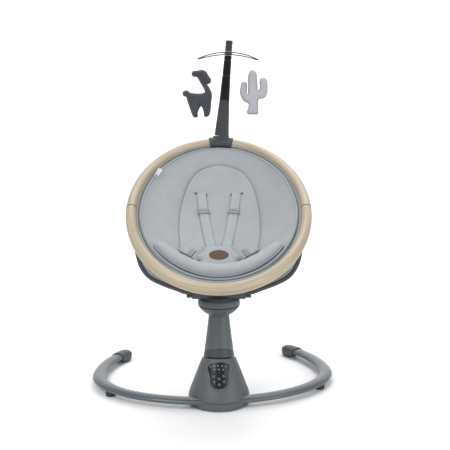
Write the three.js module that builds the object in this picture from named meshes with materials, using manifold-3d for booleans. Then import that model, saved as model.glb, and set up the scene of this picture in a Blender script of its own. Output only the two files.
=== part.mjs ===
// A powered baby swing: a C-shaped floor base, a round pedestal with a key panel, a short
// stalk that sways on a leaning axis, and a reclined oval wooden ring that carries the seat.
// Millimetres. +X is to the right seen from the front, +Y to the back, +Z up, floor at z = 0.
import * as THREE from 'three';
import { mergeVertices } from 'three/addons/utils/BufferGeometryUtils.js';
import Module from 'manifold-3d';

const wasm = await Module();
wasm.setup();

// ---------------------------------------------------------------- driving dimensions
const GAP = 0.3;                      // left between pieces that meet
const RUNNING = 0.08;                 // radial clearance of a shaft in its bush
const deg = Math.PI / 180;

// floor base
const BASE_HALF_WIDTH = 300;          // centre of the tube at its widest
const BASE_FRONT = -106;              // y of the tube's centre at the front
const BASE_WIDEST = 105;              // y where the tube is widest
const BASE_BACK_RADIUS = 317;         // plan radius of the tube behind its widest point
const BASE_BACK_ANGLE = 40.8;         // turn of that stretch, to the tip of the end cap
const BASE_TURN = 5.3;                // degrees the tube is turned on the pedestal, seen from above
const TUBE_WIDTH = 35;
const TUBE_HEIGHT = 17;
const TUBE_Z = 20;                    // height of the tube's centre
const CAP_WALL = 3;                   // end cap wall over the tube
const CAP_LENGTH = 56;
const CAP_OVERLAP = 22;               // length of tube inside the cap
const FOOT_RADIUS = 13;
const FOOT_X = 268;

// pedestal
const PEDESTAL_Y = -61;               // centre of its foot
const PEDESTAL_RADIUS = 75.5;
const PEDESTAL_SHOULDER_RADIUS = 48;
const PEDESTAL_SHOULDER_Z = 96;
const PEDESTAL_TOP_RADIUS = 40;
const PEDESTAL_SHEAR = 0.09;          // how far the cone runs back for each mm of height
const PEDESTAL_WALL = 3;
const PAN_HEIGHT = 20.5;              // height of the seam between pan and cone
const GRIP_RING_HEIGHT = 2;

// stalk: its axis leans back and is the axis the seat sways on
const LEAN = 9;                       // degrees from upright
const SWAY_Y = -51;                   // where the axis crosses the gap under the stalk
const SWAY_Z = 114;
const SWAY_GAP = 3.4;                 // open gap between pedestal and stalk
const STALK_FOOT_RADIUS = 38.5;
const STALK_TOP_RADIUS = 25.7;
const STALK_LENGTH = 98;
const STALK_WALL = 2.5;
const CUFF_HEIGHT = 22;               // arched lower cuff of the stalk, at its middle
const SHAFT_RADIUS = 8;
const SHAFT_LENGTH = 96;

// drive
const CRANK_DISTANCE = 28;            // shaft to motor output
const CRANK_THROW = 10;
const CRANK_PIN_RADIUS = 2.5;
const SLOT_PLAY = 0.7;

// hub and fork
const HUB_Y = -31;
const HUB_RADIUS = 52.4;
const HUB_WIDEST_Z = 246;
const HUB_BOTTOM_Z = 216;
const HUB_TOP_Z = 256;
const COLLAR_RADIUS = 44.5;
const SADDLE_TOP_Z = 279;
const HUB_WALL = 3;
const ARM_DEPTH = 50;                 // front to back
const ARM_THICKNESS = 11;
const ARM_INSET = 9;                  // centre of the arm's tip inside the ring's centre line

// seat ring, in the seat's own frame: u to the right, v up the slope, w square to the ring
const SEAT_Y = -20;
const SEAT_Z = 476;
const RECLINE = 31;                   // degrees from level
const RING_HALF_WIDTH = 213;
const RING_HALF_LENGTH = 281;
const RING_RADIAL = 26;               // section across the ring
const RING_AXIAL = 29;                // section square to the ring
const JOINT_PLATE = 1.6;              // dark plate between the ring's two halves
const SLEEVE_LENGTH = 46;
const PIVOT_DROP = 34;                // recline pivot below the ring's centre line
const PIVOT_RADIUS = 6;

// fabric
const SEAT_DEPTH = 96;                // of the pad's face below the ring
const SEAT_DEPTH_SLOPE = 0.05;        // deeper towards the front
const PAD_THICKNESS = 20;
const SLING_THICKNESS = 4;
const PAD_MARGIN = 9;                 // pad edge inside the sling edge
const BOLSTER_RADIUS = 20;
const STRAP_WIDTH = 23;
const STRAP_THICKNESS = 1.6;
const WAIST_WIDTH = 20;

// toy mast
const MAST_BASE_WIDTH = 42;
const MAST_TOP_WIDTH = 18;
const MAST_OFFSET = 6;                // right of the ring's middle
const MAST_LEAN = 4.5;                // degrees to the right
const CLIP_LENGTH = 64;
const CLIP_WALL = 3.5;
const BAR_HALF_SPAN = 76.5;
const BAR_WIRE = 3;
const BAR_DROOP = 15;
const BAR_LEVELLING = 0.066;          // rise per mm to the right, against the mast's lean
const TOY_SPAN = 67;                  // string to the middle of the bar
const STRING_LENGTH = 28;
const STRING_RADIUS = 1.1;
const TOY_THICKNESS = 20;

// ---------------------------------------------------------------- materials
function plastic(color, roughness = 0.5) {
  return new THREE.MeshStandardMaterial({ color, roughness, metalness: 0 });
}
const tubeGrey = new THREE.MeshStandardMaterial({ color: 0x5d6669, roughness: 0.35, metalness: 0.6 });
const shellGrey = plastic(0x596164);
const darkGrey = plastic(0x43494d);
const black = plastic(0x1c1d20, 0.15);
const rubber = plastic(0x202122, 0.9);
const steel = new THREE.MeshStandardMaterial({ color: 0xb9bcbf, roughness: 0.3, metalness: 1 });
const brass = new THREE.MeshStandardMaterial({ color: 0xb99a5b, roughness: 0.35, metalness: 1 });
const board = plastic(0x1f5b3a);
const wood = plastic(0xc8b9a0, 0.55);
const fabric = plastic(0xafb8bc, 0.95);
const webbing = plastic(0xb4bbbe, 0.9);
const leather = plastic(0x694b37, 0.7);
const felt = plastic(0x50525f, 0.95);
const satin = plastic(0xbebcc3, 0.6);

// ---------------------------------------------------------------- shape helpers
function toSolid(geometry) {
  const bare = geometry.clone();
  bare.deleteAttribute('normal');
  bare.deleteAttribute('uv');
  const merged = mergeVertices(bare, 1e-4);
  return new wasm.Manifold(new wasm.Mesh({
    numProp: 3,
    vertProperties: Float32Array.from(merged.attributes.position.array),
    triVerts: Uint32Array.from(merged.index.array),
  }));
}

function toGeometry(solid) {
  const mesh = solid.getMesh();
  const geometry = new THREE.BufferGeometry();
  geometry.setAttribute('position', new THREE.BufferAttribute(Float32Array.from(mesh.vertProperties), 3));
  geometry.setIndex(new THREE.BufferAttribute(Uint32Array.from(mesh.triVerts), 1));
  return geometry;
}

function cut(body, ...tools) {
  return toGeometry(tools.reduce((solid, tool) => solid.subtract(toSolid(tool)), toSolid(body)));
}

function join(body, ...others) {
  return toGeometry(others.reduce((solid, other) => solid.add(toSolid(other)), toSolid(body)));
}

function common(body, other) {
  return toGeometry(toSolid(body).intersect(toSolid(other)));
}

function box(width, depth, height, x = 0, y = 0, z = 0) {
  return new THREE.BoxGeometry(width, depth, height).translate(x, y, z);
}

// an upright cylinder standing on z
function post(radius, height, x = 0, y = 0, z = 0, sides = 24) {
  return new THREE.CylinderGeometry(radius, radius, height, sides)
    .rotateX(Math.PI / 2).translate(x, y, z + height / 2);
}

// a body of turning about Z from [radius, height] pairs, anticlockwise seen with z up
function turned(profile, sides = 30) {
  const points = profile.map(([r, z]) => new THREE.Vector2(r, z));
  return new THREE.LatheGeometry(points, sides).rotateX(Math.PI / 2);
}

function washer(inner, outer, low, high, sides = 30) {
  return turned([[inner, low], [outer, low], [outer, high], [inner, high], [inner, low]], sides);
}

function shear(geometry, rate, fromZ = 0) {
  return reshape(geometry, (p) => p.setY(p.y + rate * (p.z - fromZ)));
}

function reshape(geometry, move) {
  const position = geometry.attributes.position;
  const p = new THREE.Vector3();
  for (let i = 0; i < position.count; i += 1) {
    p.fromBufferAttribute(position, i);
    move(p);
    position.setXYZ(i, p.x, p.y, p.z);
  }
  return geometry;
}

function mirrored(geometry) {
  const twin = geometry.clone().scale(-1, 1, 1);
  const index = twin.index;
  if (index) {
    for (let i = 0; i < index.count; i += 3) {
      const second = index.getX(i + 1);
      index.setX(i + 1, index.getX(i + 2));
      index.setX(i + 2, second);
    }
    return twin;
  }
  const position = twin.attributes.position;
  const a = new THREE.Vector3();
  const b = new THREE.Vector3();
  for (let i = 0; i < position.count; i += 3) {
    a.fromBufferAttribute(position, i + 1);
    b.fromBufferAttribute(position, i + 2);
    position.setXYZ(i + 1, b.x, b.y, b.z);
    position.setXYZ(i + 2, a.x, a.y, a.z);
  }
  return twin;
}

// across is square to the plane of the path, inPlane lies in it
function ovalSection(across, inPlane, sides = 12) {
  const points = [];
  for (let i = 0; i < sides; i += 1) {
    const t = (i / sides) * 2 * Math.PI;
    points.push(new THREE.Vector2(Math.cos(t) * across / 2, Math.sin(t) * inPlane / 2));
  }
  return new THREE.Shape(points);
}

function slabSection(across, inPlane, chamfer = 0.25) {
  const x = across / 2;
  const y = inPlane / 2;
  const c = chamfer * Math.min(across, inPlane);
  return new THREE.Shape([
    [x, -y + c], [x, y - c], [x - c, y], [-x + c, y],
    [-x, y - c], [-x, -y + c], [-x + c, -y], [x - c, -y],
  ].map(([px, py]) => new THREE.Vector2(px, py)));
}

function sweep(section, path, steps) {
  return new THREE.ExtrudeGeometry(section, { steps, extrudePath: path, bevelEnabled: false });
}

function through(points) {
  return new THREE.CatmullRomCurve3(points.map((p) => new THREE.Vector3(...p)), false, 'centripetal');
}

function plate(outline, thickness, bevel = 0) {
  const shape = outline instanceof THREE.Shape ? outline : new THREE.Shape(outline);
  return new THREE.ExtrudeGeometry(shape, {
    depth: thickness - 2 * bevel,
    bevelEnabled: bevel > 0,
    bevelThickness: bevel,
    bevelSize: bevel,
    bevelOffset: -bevel,
    bevelSegments: 1,
    curveSegments: 8,
  }).translate(0, 0, bevel);
}

function spline(points, count) {
  const curve = new THREE.CatmullRomCurve3(
    points.map(([x, y]) => new THREE.Vector3(x, y, 0)), true, 'centripetal');
  return curve.getPoints(count).slice(0, count).map((p) => new THREE.Vector2(p.x, p.y));
}

// ---------------------------------------------------------------- groups and frames
const swing = new THREE.Group();
const base = new THREE.Group();
const drive = new THREE.Group();      // fixed, z along the sway axis
const sway = new THREE.Group();       // turns on the sway axis, z along it
const upper = new THREE.Group();      // upright frame again, on the stalk
const seat = new THREE.Group();       // u, v, w of the ring
swing.add(base, drive, sway);
sway.add(upper);
upper.add(seat);

for (const group of [drive, sway]) {
  group.position.set(0, SWAY_Y, SWAY_Z);
  group.rotation.x = -LEAN * deg;
}
upper.rotation.x = LEAN * deg;
upper.position.set(0, -SWAY_Y, -SWAY_Z).applyEuler(upper.rotation);
seat.position.set(0, SEAT_Y, SEAT_Z);
seat.rotation.x = RECLINE * deg;

function add(group, name, geometry, material) {
  const mesh = new THREE.Mesh(geometry, material);
  mesh.name = name;
  group.add(mesh);
  return mesh;
}

function addPair(group, name, geometry, material) {
  add(group, `${name}_right`, geometry, material);
  add(group, `${name}_left`, mirrored(geometry), material);
}

const floorTube = new THREE.Group();  // the tube with its caps and feet
base.add(floorTube);
const baseTurn = new THREE.Matrix4().makeTranslation(0, PEDESTAL_Y, 0)
  .multiply(new THREE.Matrix4().makeRotationZ(BASE_TURN * deg))
  .multiply(new THREE.Matrix4().makeTranslation(0, -PEDESTAL_Y, 0));
floorTube.applyMatrix4(baseTurn);

// ---------------------------------------------------------------- floor base
// quarter ellipse in front of the widest point, then an arc of one radius behind it
function basePoint(s) {
  const frontShare = 0.68;
  if (s < frontShare) {
    const t = (s / frontShare) * (Math.PI / 2);
    return new THREE.Vector3(
      BASE_HALF_WIDTH * Math.sin(t),
      BASE_WIDEST + (BASE_FRONT - BASE_WIDEST) * Math.cos(t),
      TUBE_Z);
  }
  const t = ((s - frontShare) / (1 - frontShare)) * BASE_BACK_ANGLE * deg;
  return new THREE.Vector3(
    BASE_HALF_WIDTH - BASE_BACK_RADIUS * (1 - Math.cos(t)),
    BASE_WIDEST + BASE_BACK_RADIUS * Math.sin(t),
    TUBE_Z);
}

const TUBE_START_X = 34;              // inside the pedestal, where the two tubes stop short
const fullPath = new THREE.CatmullRomCurve3(
  Array.from({ length: 61 }, (_, i) => basePoint(i / 60)), false, 'centripetal');
const fullLength = fullPath.getLength();

function along(distance) {
  return fullPath.getPointAt(Math.min(distance / fullLength, 1));
}

function partOfBase(from, to, count) {
  return new THREE.CatmullRomCurve3(
    Array.from({ length: count + 1 }, (_, i) => along(from + (to - from) * (i / count))),
    false, 'centripetal');
}

const tubeEnd = fullLength - CAP_LENGTH + CAP_OVERLAP;
const TUBE_STEPS = 22;
const tube = sweep(ovalSection(TUBE_HEIGHT, TUBE_WIDTH), partOfBase(TUBE_START_X, tubeEnd, 40), TUBE_STEPS);
addPair(floorTube, 'base_tube', tube, tubeGrey);

// a closed sleeve over the tube's end: oval, flat underneath, domed at its tip
function capBody(grow, length) {
  const rows = 8;
  const shell = new THREE.CylinderGeometry(1, 1, 1, 14, rows).rotateX(Math.PI / 2);
  const start = fullLength - CAP_LENGTH;
  const domeFrom = 0.5;
  return reshape(shell, (p) => {
    const t = p.z + 0.5;
    const past = Math.max(0, (t - domeFrom) / (1 - domeFrom));
    const size = Math.max(Math.sqrt(1 - Math.min(past, 0.99) ** 2.4), 0.05);
    const centre = along(start + length * t);
    const ahead = along(start + length * Math.min(t + 0.02, 1));
    const behind = along(start + length * Math.max(t - 0.02, 0));
    const tangent = ahead.sub(behind).setZ(0).normalize();
    const side = new THREE.Vector3(-tangent.y, tangent.x, 0);
    const half = TUBE_WIDTH / 2 + grow;
    const top = TUBE_HEIGHT / 2 + grow;
    const flat = TUBE_Z;
    const across = p.x * size * half;
    const rise = p.y > 0 ? p.y * size * top : Math.max(p.y * 1.25, -1) * flat * Math.min(1, size * 1.4);
    p.copy(centre).addScaledVector(side, across);
    p.z += rise;
  });
}
const capPocket = sweep(
  ovalSection(TUBE_HEIGHT + 2 * GAP, TUBE_WIDTH + 2 * GAP),
  partOfBase(TUBE_START_X, tubeEnd + GAP, 40), TUBE_STEPS);
addPair(floorTube, 'end_cap', cut(capBody(CAP_WALL, CAP_LENGTH), capPocket), darkGrey);

// peg feet with a hollowed top that the tube lies in
const footY = BASE_WIDEST + (BASE_FRONT - BASE_WIDEST) * Math.sqrt(1 - (FOOT_X / BASE_HALF_WIDTH) ** 2);
const footBody = new THREE.LatheGeometry([
  [0, 0], [FOOT_RADIUS - 1.5, 0], [FOOT_RADIUS, 1.5], [FOOT_RADIUS - 0.6, TUBE_Z - 2], [0, TUBE_Z - 2],
].map(([r, z]) => new THREE.Vector2(r, z)), 20).rotateX(Math.PI / 2).translate(FOOT_X, footY, 0);
const tubeRoom = sweep(
  ovalSection(TUBE_HEIGHT + 2 * GAP, TUBE_WIDTH + 2 * GAP), partOfBase(TUBE_START_X, tubeEnd, 40), TUBE_STEPS);
addPair(floorTube, 'peg_foot', cut(footBody, tubeRoom), rubber);

// ---------------------------------------------------------------- pedestal
function coneRadius(z) {
  const points = [
    [0, PEDESTAL_RADIUS - 1], [PAN_HEIGHT, PEDESTAL_RADIUS], [30, PEDESTAL_RADIUS - 2.2],
    [PEDESTAL_SHOULDER_Z, PEDESTAL_SHOULDER_RADIUS], [PEDESTAL_SHOULDER_Z + 30, PEDESTAL_TOP_RADIUS - 5],
  ];
  for (let i = 1; i < points.length; i += 1) {
    const [z0, r0] = points[i - 1];
    const [z1, r1] = points[i];
    if (z <= z1) return r0 + (r1 - r0) * ((z - z0) / (z1 - z0));
  }
  return points.at(-1)[1];
}

// the space between two offsets of the cone, from one height to another
function coneShell(inner, outer, low, high) {
  const levels = [low, 30, 52, 74, PEDESTAL_SHOULDER_Z, high].filter((z) => z >= low && z <= high);
  const up = [...new Set(levels)].sort((a, b) => a - b);
  const profile = [
    ...up.map((z) => [coneRadius(z) + outer, z]),
    ...up.toReversed().map((z) => [coneRadius(z) + inner, z]),
  ];
  profile.push(profile[0]);
  return shear(turned(profile).translate(0, PEDESTAL_Y, 0), PEDESTAL_SHEAR);
}

// everything above a plane square to the sway axis
function aboveSwayPlane(height) {
  return box(300, 300, 200, 0, 0, height + 100)
    .rotateX(-LEAN * deg).translate(0, SWAY_Y, SWAY_Z);
}

const tubeHoles = [tubeRoom, mirrored(tubeRoom)].map((room) => room.applyMatrix4(baseTurn));
const pedestalTop = PEDESTAL_SHOULDER_Z + 30;
const wholeCone = cut(
  coneShell(-PEDESTAL_WALL, 0, PAN_HEIGHT, pedestalTop),
  aboveSwayPlane(-SWAY_GAP / 2), ...tubeHoles);

// the front of the cone, laid flat: x across, y up the slope
const FRONT_SLOPE = Math.atan(
  (coneRadius(36) - PEDESTAL_SHOULDER_RADIUS) / (PEDESTAL_SHOULDER_Z - 36) + PEDESTAL_SHEAR);
const PANEL_Z = 84;                   // middle of the panel
const panelFace = new THREE.Vector3(
  0, PEDESTAL_Y + PEDESTAL_SHEAR * PANEL_Z - coneRadius(PANEL_Z), PANEL_Z);

// turns x, y, z of a flat drawing into across, up the front, and out of it
function onFront(geometry) {
  return geometry.rotateX(Math.PI / 2 - FRONT_SLOPE).translate(...panelFace.toArray());
}

function frontTool(outline, depth = 60, out = 30) {
  return onFront(plate(outline, depth).translate(0, 0, out - depth));
}

const panelOutline = [
  [-27, 17], [-25, 22.5], [-17, 26.5], [0, 29.5], [15, 28.5], [23, 26], [25, 20],
  [24, 2], [22, -18], [15, -29], [0, -33.5], [-13, -30], [-20, -20], [-21, -6], [-25, 7],
];
const bibOutline = [
  [-64, 60], [-64, 33], [-46, 27], [-35, 17], [-30, 2], [-26, -18], [-17, -33], [0, -38.5],
  [17, -34], [27, -18], [31, 2], [35, 17], [46, 27], [64, 33], [64, 60],
];

// the outline moved outwards by a distance, corner by corner
function grown(points, by) {
  const ring = points.map(([x, y]) => new THREE.Vector2(x, y));
  const turn = Math.sign(THREE.ShapeUtils.area(ring));
  return ring.map((p, i) => {
    const before = p.clone().sub(ring.at(i - 1)).normalize();
    const after = ring[(i + 1) % ring.length].clone().sub(p).normalize();
    const normal = new THREE.Vector2(before.y + after.y, -before.x - after.x).normalize();
    const reach = by / Math.max(normal.dot(new THREE.Vector2(after.y, -after.x)), 0.3);
    return [p.x + normal.x * reach * turn, p.y + normal.y * reach * turn];
  });
}

const panelHole = frontTool(spline(grown(panelOutline, GAP), 30));
const bibTool = frontTool(bibOutline.map(([x, y]) => new THREE.Vector2(x, y)), 50, 25);
const bibGapTool = frontTool(grown(bibOutline, 0.9).map(([x, y]) => new THREE.Vector2(x, y)), 50, 25);
const inletY = PEDESTAL_Y + PEDESTAL_SHEAR * 40 + coneRadius(40);
const lyingRod = (radius, length, y, sides) => new THREE.CylinderGeometry(radius, radius, length, sides)
  .translate(0, y, 40);
const inletHole = lyingRod(5.5 + GAP, 30, inletY, 20);
add(base, 'pedestal_cone', cut(wholeCone, bibGapTool, inletHole), shellGrey);
add(base, 'panel_bib', cut(common(wholeCone, bibTool), panelHole), shellGrey);

const lensShell = coneShell(-PEDESTAL_WALL, 0.8, PAN_HEIGHT + 5, pedestalTop);
const lensBlank = common(lensShell, frontTool(spline(panelOutline, 30)));

// six round keys in two columns with one between and one below
const KEY_RADIUS = 4;
const keyPlaces = [[-12.5, -3.5], [11, -2.5], [0, -9.5], [-11.5, -17], [12, -16], [1, -23]];
const keyHoles = keyPlaces.map(([x, y]) => onFront(post(KEY_RADIUS + GAP, 40, x, y, -20, 12)));
add(base, 'panel_lens', cut(lensBlank, ...keyHoles), black);
keyPlaces.forEach(([x, y], i) => {
  const sag = (x * x) / (2 * coneRadius(PANEL_Z));
  add(base, `key_${i + 1}`, onFront(post(KEY_RADIUS, 5.2, x, y, -3.4 - sag, 12)), black);
});
const boardSize = [44, 58];
add(base, 'circuit_board', onFront(box(boardSize[0], boardSize[1], 1.6, 0, -4, -13.5)), board);

// pan that closes the underside, with a wall round its edge
const panOuter = turned([
  [0, GRIP_RING_HEIGHT - 1], [PEDESTAL_RADIUS - 4, GRIP_RING_HEIGHT - 1],
  [PEDESTAL_RADIUS - 1, GRIP_RING_HEIGHT + 1.5], [PEDESTAL_RADIUS, PAN_HEIGHT - GAP],
  [PEDESTAL_RADIUS - PEDESTAL_WALL, PAN_HEIGHT - GAP], [PEDESTAL_RADIUS - PEDESTAL_WALL - 1, 6], [0, 6],
]).translate(0, PEDESTAL_Y, 0);
const gripSeat = washer(46 - GAP, 60 + GAP, -2, GRIP_RING_HEIGHT + GAP).translate(0, PEDESTAL_Y, 0);
// saddles that hold each tube's inner end down on the pan
const panRoom = post(PEDESTAL_RADIUS - PEDESTAL_WALL - 7, 60, 0, PEDESTAL_Y, 4, 36);
const saddleBlock = common(box(14, 48, 28, 42, BASE_FRONT + 6, 18), panRoom);
const blocks = [saddleBlock, mirrored(saddleBlock)].map((block) => block.applyMatrix4(baseTurn));
const pan = join(panOuter, ...blocks);
add(base, 'base_pan', cut(pan, gripSeat, ...tubeHoles), shellGrey);
add(base, 'grip_ring', washer(46, 60, 0, GRIP_RING_HEIGHT).translate(0, PEDESTAL_Y, 0), rubber);

// power inlet low on the cone's back
add(base, 'power_inlet', cut(lyingRod(5.5, 16, inletY - 5, 20), lyingRod(3, 12, inletY + 1, 16)), black);

// ---------------------------------------------------------------- drive, on the sway axis
// heights here are along the axis, from the gap downwards
const HOUSING_TOP = -14;
const HOUSING_BOTTOM = -62;
const BUSH_WALL = 3;
const BUSH_HEIGHT = 9;
const ARM_LEVEL = -40;
const crankCentre = [0, CRANK_DISTANCE];

function bush(top) {
  return washer(SHAFT_RADIUS + RUNNING, SHAFT_RADIUS + BUSH_WALL, top - BUSH_HEIGHT, top, 32);
}
const bushOuter = SHAFT_RADIUS + BUSH_WALL;
const housingPlate = (top) => box(52, 38, BUSH_HEIGHT - 1, 0, -5, top - BUSH_HEIGHT / 2);
const housingSide = (x) => box(5, 26, HOUSING_TOP - HOUSING_BOTTOM, x, 0, (HOUSING_TOP + HOUSING_BOTTOM) / 2 - 1);
const housingBore = post(bushOuter + GAP, 120, 0, 0, -100, 32);
const housing = cut(
  join(housingPlate(HOUSING_TOP), housingPlate(HOUSING_BOTTOM + BUSH_HEIGHT), housingSide(-23.5), housingSide(23.5)),
  housingBore);
add(drive, 'bearing_housing', housing, darkGrey);
add(drive, 'upper_bush', bush(HOUSING_TOP), brass);
add(drive, 'lower_bush', bush(HOUSING_BOTTOM + BUSH_HEIGHT), brass);

// crank disc with its pin, pointing back along +y when the seat is straight ahead
const disc = join(
  post(CRANK_THROW + CRANK_PIN_RADIUS + 1.5, 4, 0, 0, ARM_LEVEL - 8, 24),
  post(CRANK_PIN_RADIUS, 9, 0, CRANK_THROW, ARM_LEVEL - 6, 16));
const crank = new THREE.Group();
crank.position.set(crankCentre[0], crankCentre[1], 0);
drive.add(crank);
add(crank, 'crank_disc', disc, steel);
const gearboxTop = ARM_LEVEL - 8 - GAP;
const motorCan = new THREE.CylinderGeometry(8, 8, 30, 18)
  .rotateZ(Math.PI / 2).translate(-26, crankCentre[1] - 1, gearboxTop - 9);
add(drive, 'gear_motor', join(
  box(34, 24, 10, crankCentre[0], crankCentre[1] + 0.5, gearboxTop - 5), motorCan), steel);

// shaft with a slotted arm for the crank pin
const slotHalf = CRANK_PIN_RADIUS + SLOT_PLAY;
const slotFrom = CRANK_DISTANCE - 2;
const slotTo = CRANK_DISTANCE + CRANK_THROW + 4;
const armPlate = box(2 * slotHalf + 7, slotTo + 4, 4, 0, (slotTo + 4) / 2, ARM_LEVEL);
const armSlot = box(2 * slotHalf, slotTo - slotFrom, 10, 0, (slotFrom + slotTo) / 2, ARM_LEVEL);
const CORE_RADIUS = 15;
const CORE_TOP = STALK_LENGTH + 10;
const swayPost = join(
  post(SHAFT_RADIUS, SHAFT_LENGTH, 0, 0, HOUSING_BOTTOM - 2, 28), post(12, 5, 0, 0, ARM_LEVEL - 2.5, 20),
  cut(armPlate, armSlot), post(CORE_RADIUS, CORE_TOP - 8, 0, 0, 8), post(30, 4, 0, 0, 8),
  post(25, 4, 0, 0, STALK_LENGTH * 0.5));
add(sway, 'sway_post', swayPost, steel);

// ---------------------------------------------------------------- stalk
const stalkBottom = SWAY_GAP / 2;
function stalkRadius(height) {
  const t = height / STALK_LENGTH;
  return STALK_FOOT_RADIUS + (STALK_TOP_RADIUS - STALK_FOOT_RADIUS) * t ** 0.85;
}
function stalkWall(inner, low, high) {
  const levels = [0, 0.25, 0.5, 0.75, 1].map((t) => low + (high - low) * t);
  const profile = [
    ...levels.map((z) => [stalkRadius(z), z]),
    ...levels.toReversed().map((z) => [stalkRadius(z) - inner, z]),
  ];
  profile.push(profile[0]);
  return turned(profile, 26);
}
// a drum lying front to back, whose top makes the cuff's arched edge
const archRadius = 90;
const archDrum = (by) => new THREE.CylinderGeometry(archRadius + by, archRadius + by, 200, 40)
  .translate(0, 0, CUFF_HEIGHT - archRadius);
const bowlProfile = [
  [STALK_TOP_RADIUS + 1, HUB_BOTTOM_Z], [36, HUB_BOTTOM_Z + 6], [45, HUB_BOTTOM_Z + 14],
  [HUB_RADIUS - 1.5, HUB_WIDEST_Z - 7],
];
const hubClear = turned([
  [0, HUB_BOTTOM_Z - 0.5], ...bowlProfile.map(([r, z]) => [r + 0.6, z - 0.5]), [HUB_RADIUS, 300], [0, 300],
]).translate(0, HUB_Y, 0);
const toSway = new THREE.Matrix4().makeRotationX(LEAN * deg)
  .multiply(new THREE.Matrix4().makeTranslation(0, -SWAY_Y, -SWAY_Z));
const hubClearHere = hubClear.clone().applyMatrix4(toSway);
const stalkTube = cut(stalkWall(STALK_WALL, stalkBottom, STALK_LENGTH + 12), hubClearHere);
add(sway, 'stalk_cuff', common(stalkTube, archDrum(-GAP / 2)), darkGrey);
add(sway, 'stalk_tube', cut(stalkTube, archDrum(GAP / 2)), shellGrey);

// ---------------------------------------------------------------- hub
const bowlInside = bowlProfile.toReversed().map(([r, z]) => [r - HUB_WALL, z + 1]);
const bowl = turned([...bowlProfile, ...bowlInside, bowlProfile[0]]).translate(0, HUB_Y, 0);
add(upper, 'hub_bowl', bowl, shellGrey);
const seamZ = HUB_WIDEST_Z - 7 + 1.3;
const coverProfile = [
  [HUB_RADIUS - 0.6, seamZ], [HUB_RADIUS, HUB_WIDEST_Z], [HUB_RADIUS - 2, HUB_TOP_Z - 1],
  [COLLAR_RADIUS + 1, HUB_TOP_Z + 1], [COLLAR_RADIUS, HUB_TOP_Z + 2],
  [COLLAR_RADIUS - HUB_WALL, HUB_TOP_Z + 2], [COLLAR_RADIUS - HUB_WALL, HUB_TOP_Z - 2],
  [HUB_RADIUS - 4, HUB_TOP_Z - 5], [HUB_RADIUS - 4, seamZ],
];
add(upper, 'hub_cover', turned([...coverProfile, coverProfile[0]]).translate(0, HUB_Y, 0), shellGrey);

// ---------------------------------------------------------------- fork
const SADDLE_HALF = 66;
const SPIGOT_RADIUS = 22;
const coreRoom = post(CORE_RADIUS + GAP, CORE_TOP + GAP - 10, 0, 0, 10).applyMatrix4(toSway.clone().invert());
const buttonRadius = 7;
const buttonBack = HUB_Y + ARM_DEPTH / 2;
const buttonZ = SADDLE_TOP_Z - 7;
const lyingPost = (radius, from, to) => new THREE.CylinderGeometry(radius, radius, to - from, 20)
  .translate(0, (from + to) / 2, buttonZ);
const saddle = cut(
  join(
    box(2 * SADDLE_HALF, ARM_DEPTH, 11, 0, HUB_Y, SADDLE_TOP_Z - 5.5),
    box(2 * SADDLE_HALF - 2, ARM_DEPTH - 4, 12, 0, HUB_Y, HUB_TOP_Z + 2.5 + 6),
    box(158, ARM_DEPTH - 8, 6.2, 0, HUB_Y, SADDLE_TOP_Z - 14.6),
    post(SPIGOT_RADIUS, 32, 0, HUB_Y, HUB_TOP_Z - 27, 28),
    post(COLLAR_RADIUS - HUB_WALL - 1, 10, 0, HUB_Y, HUB_TOP_Z - 3, 30)),
  coreRoom, lyingPost(buttonRadius + GAP, buttonBack - 9, buttonBack + 5));
const ARM_HALF_SPAN = RING_HALF_WIDTH - ARM_INSET;
const armOut = (share) => SADDLE_HALF + share * (ARM_HALF_SPAN - SADDLE_HALF);
const armPath = through([
  [SADDLE_HALF + 1.6, HUB_Y, SADDLE_TOP_Z - 5.5], [armOut(0.123), HUB_Y, SADDLE_TOP_Z - 3],
  [armOut(0.275), HUB_Y, 284], [armOut(0.522), HUB_Y, 297], [armOut(0.746), HUB_Y, 314],
  [armOut(0.884), HUB_Y, 340], [armOut(0.949), HUB_Y, 372], [armOut(0.9855), HUB_Y, 410],
  [ARM_HALF_SPAN, HUB_Y, SEAT_Z - PIVOT_DROP]]);
const TAPER_FROM = 375;               // height above which the arm narrows to its tip
const TIP_RADIUS = 13;
const armBand = reshape(sweep(slabSection(ARM_DEPTH, ARM_THICKNESS), armPath, 18), (p) => {
  const t = Math.max(0, (p.z - TAPER_FROM) / (SEAT_Z - PIVOT_DROP - TAPER_FROM));
  p.y = HUB_Y + (p.y - HUB_Y) * (1 - t * (1 - TIP_RADIUS / (ARM_DEPTH / 2)));
});
const pivotY = SEAT_Y;
const pivotZ = SEAT_Z - PIVOT_DROP;
const armTip = new THREE.CylinderGeometry(TIP_RADIUS, TIP_RADIUS, ARM_THICKNESS, 24)
  .rotateZ(Math.PI / 2).translate(ARM_HALF_SPAN, pivotY, pivotZ);
const pivotBore = new THREE.CylinderGeometry(PIVOT_RADIUS + RUNNING, PIVOT_RADIUS + RUNNING, 60, 28)
  .rotateZ(Math.PI / 2).translate(ARM_HALF_SPAN, pivotY, pivotZ);
const tipTrim = box(60, 100, 60, ARM_HALF_SPAN, pivotY, pivotZ + 30);
addPair(upper, 'fork_arm', cut(join(cut(armBand, tipTrim), armTip), pivotBore), darkGrey);
add(upper, 'fork_saddle', saddle, darkGrey);
// push button at the back of the saddle that frees the recline
const BUTTON_TRAVEL = 3;
add(upper, 'recline_button', lyingPost(buttonRadius, buttonBack - 5, buttonBack + BUTTON_TRAVEL + 0.5), black);

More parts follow.
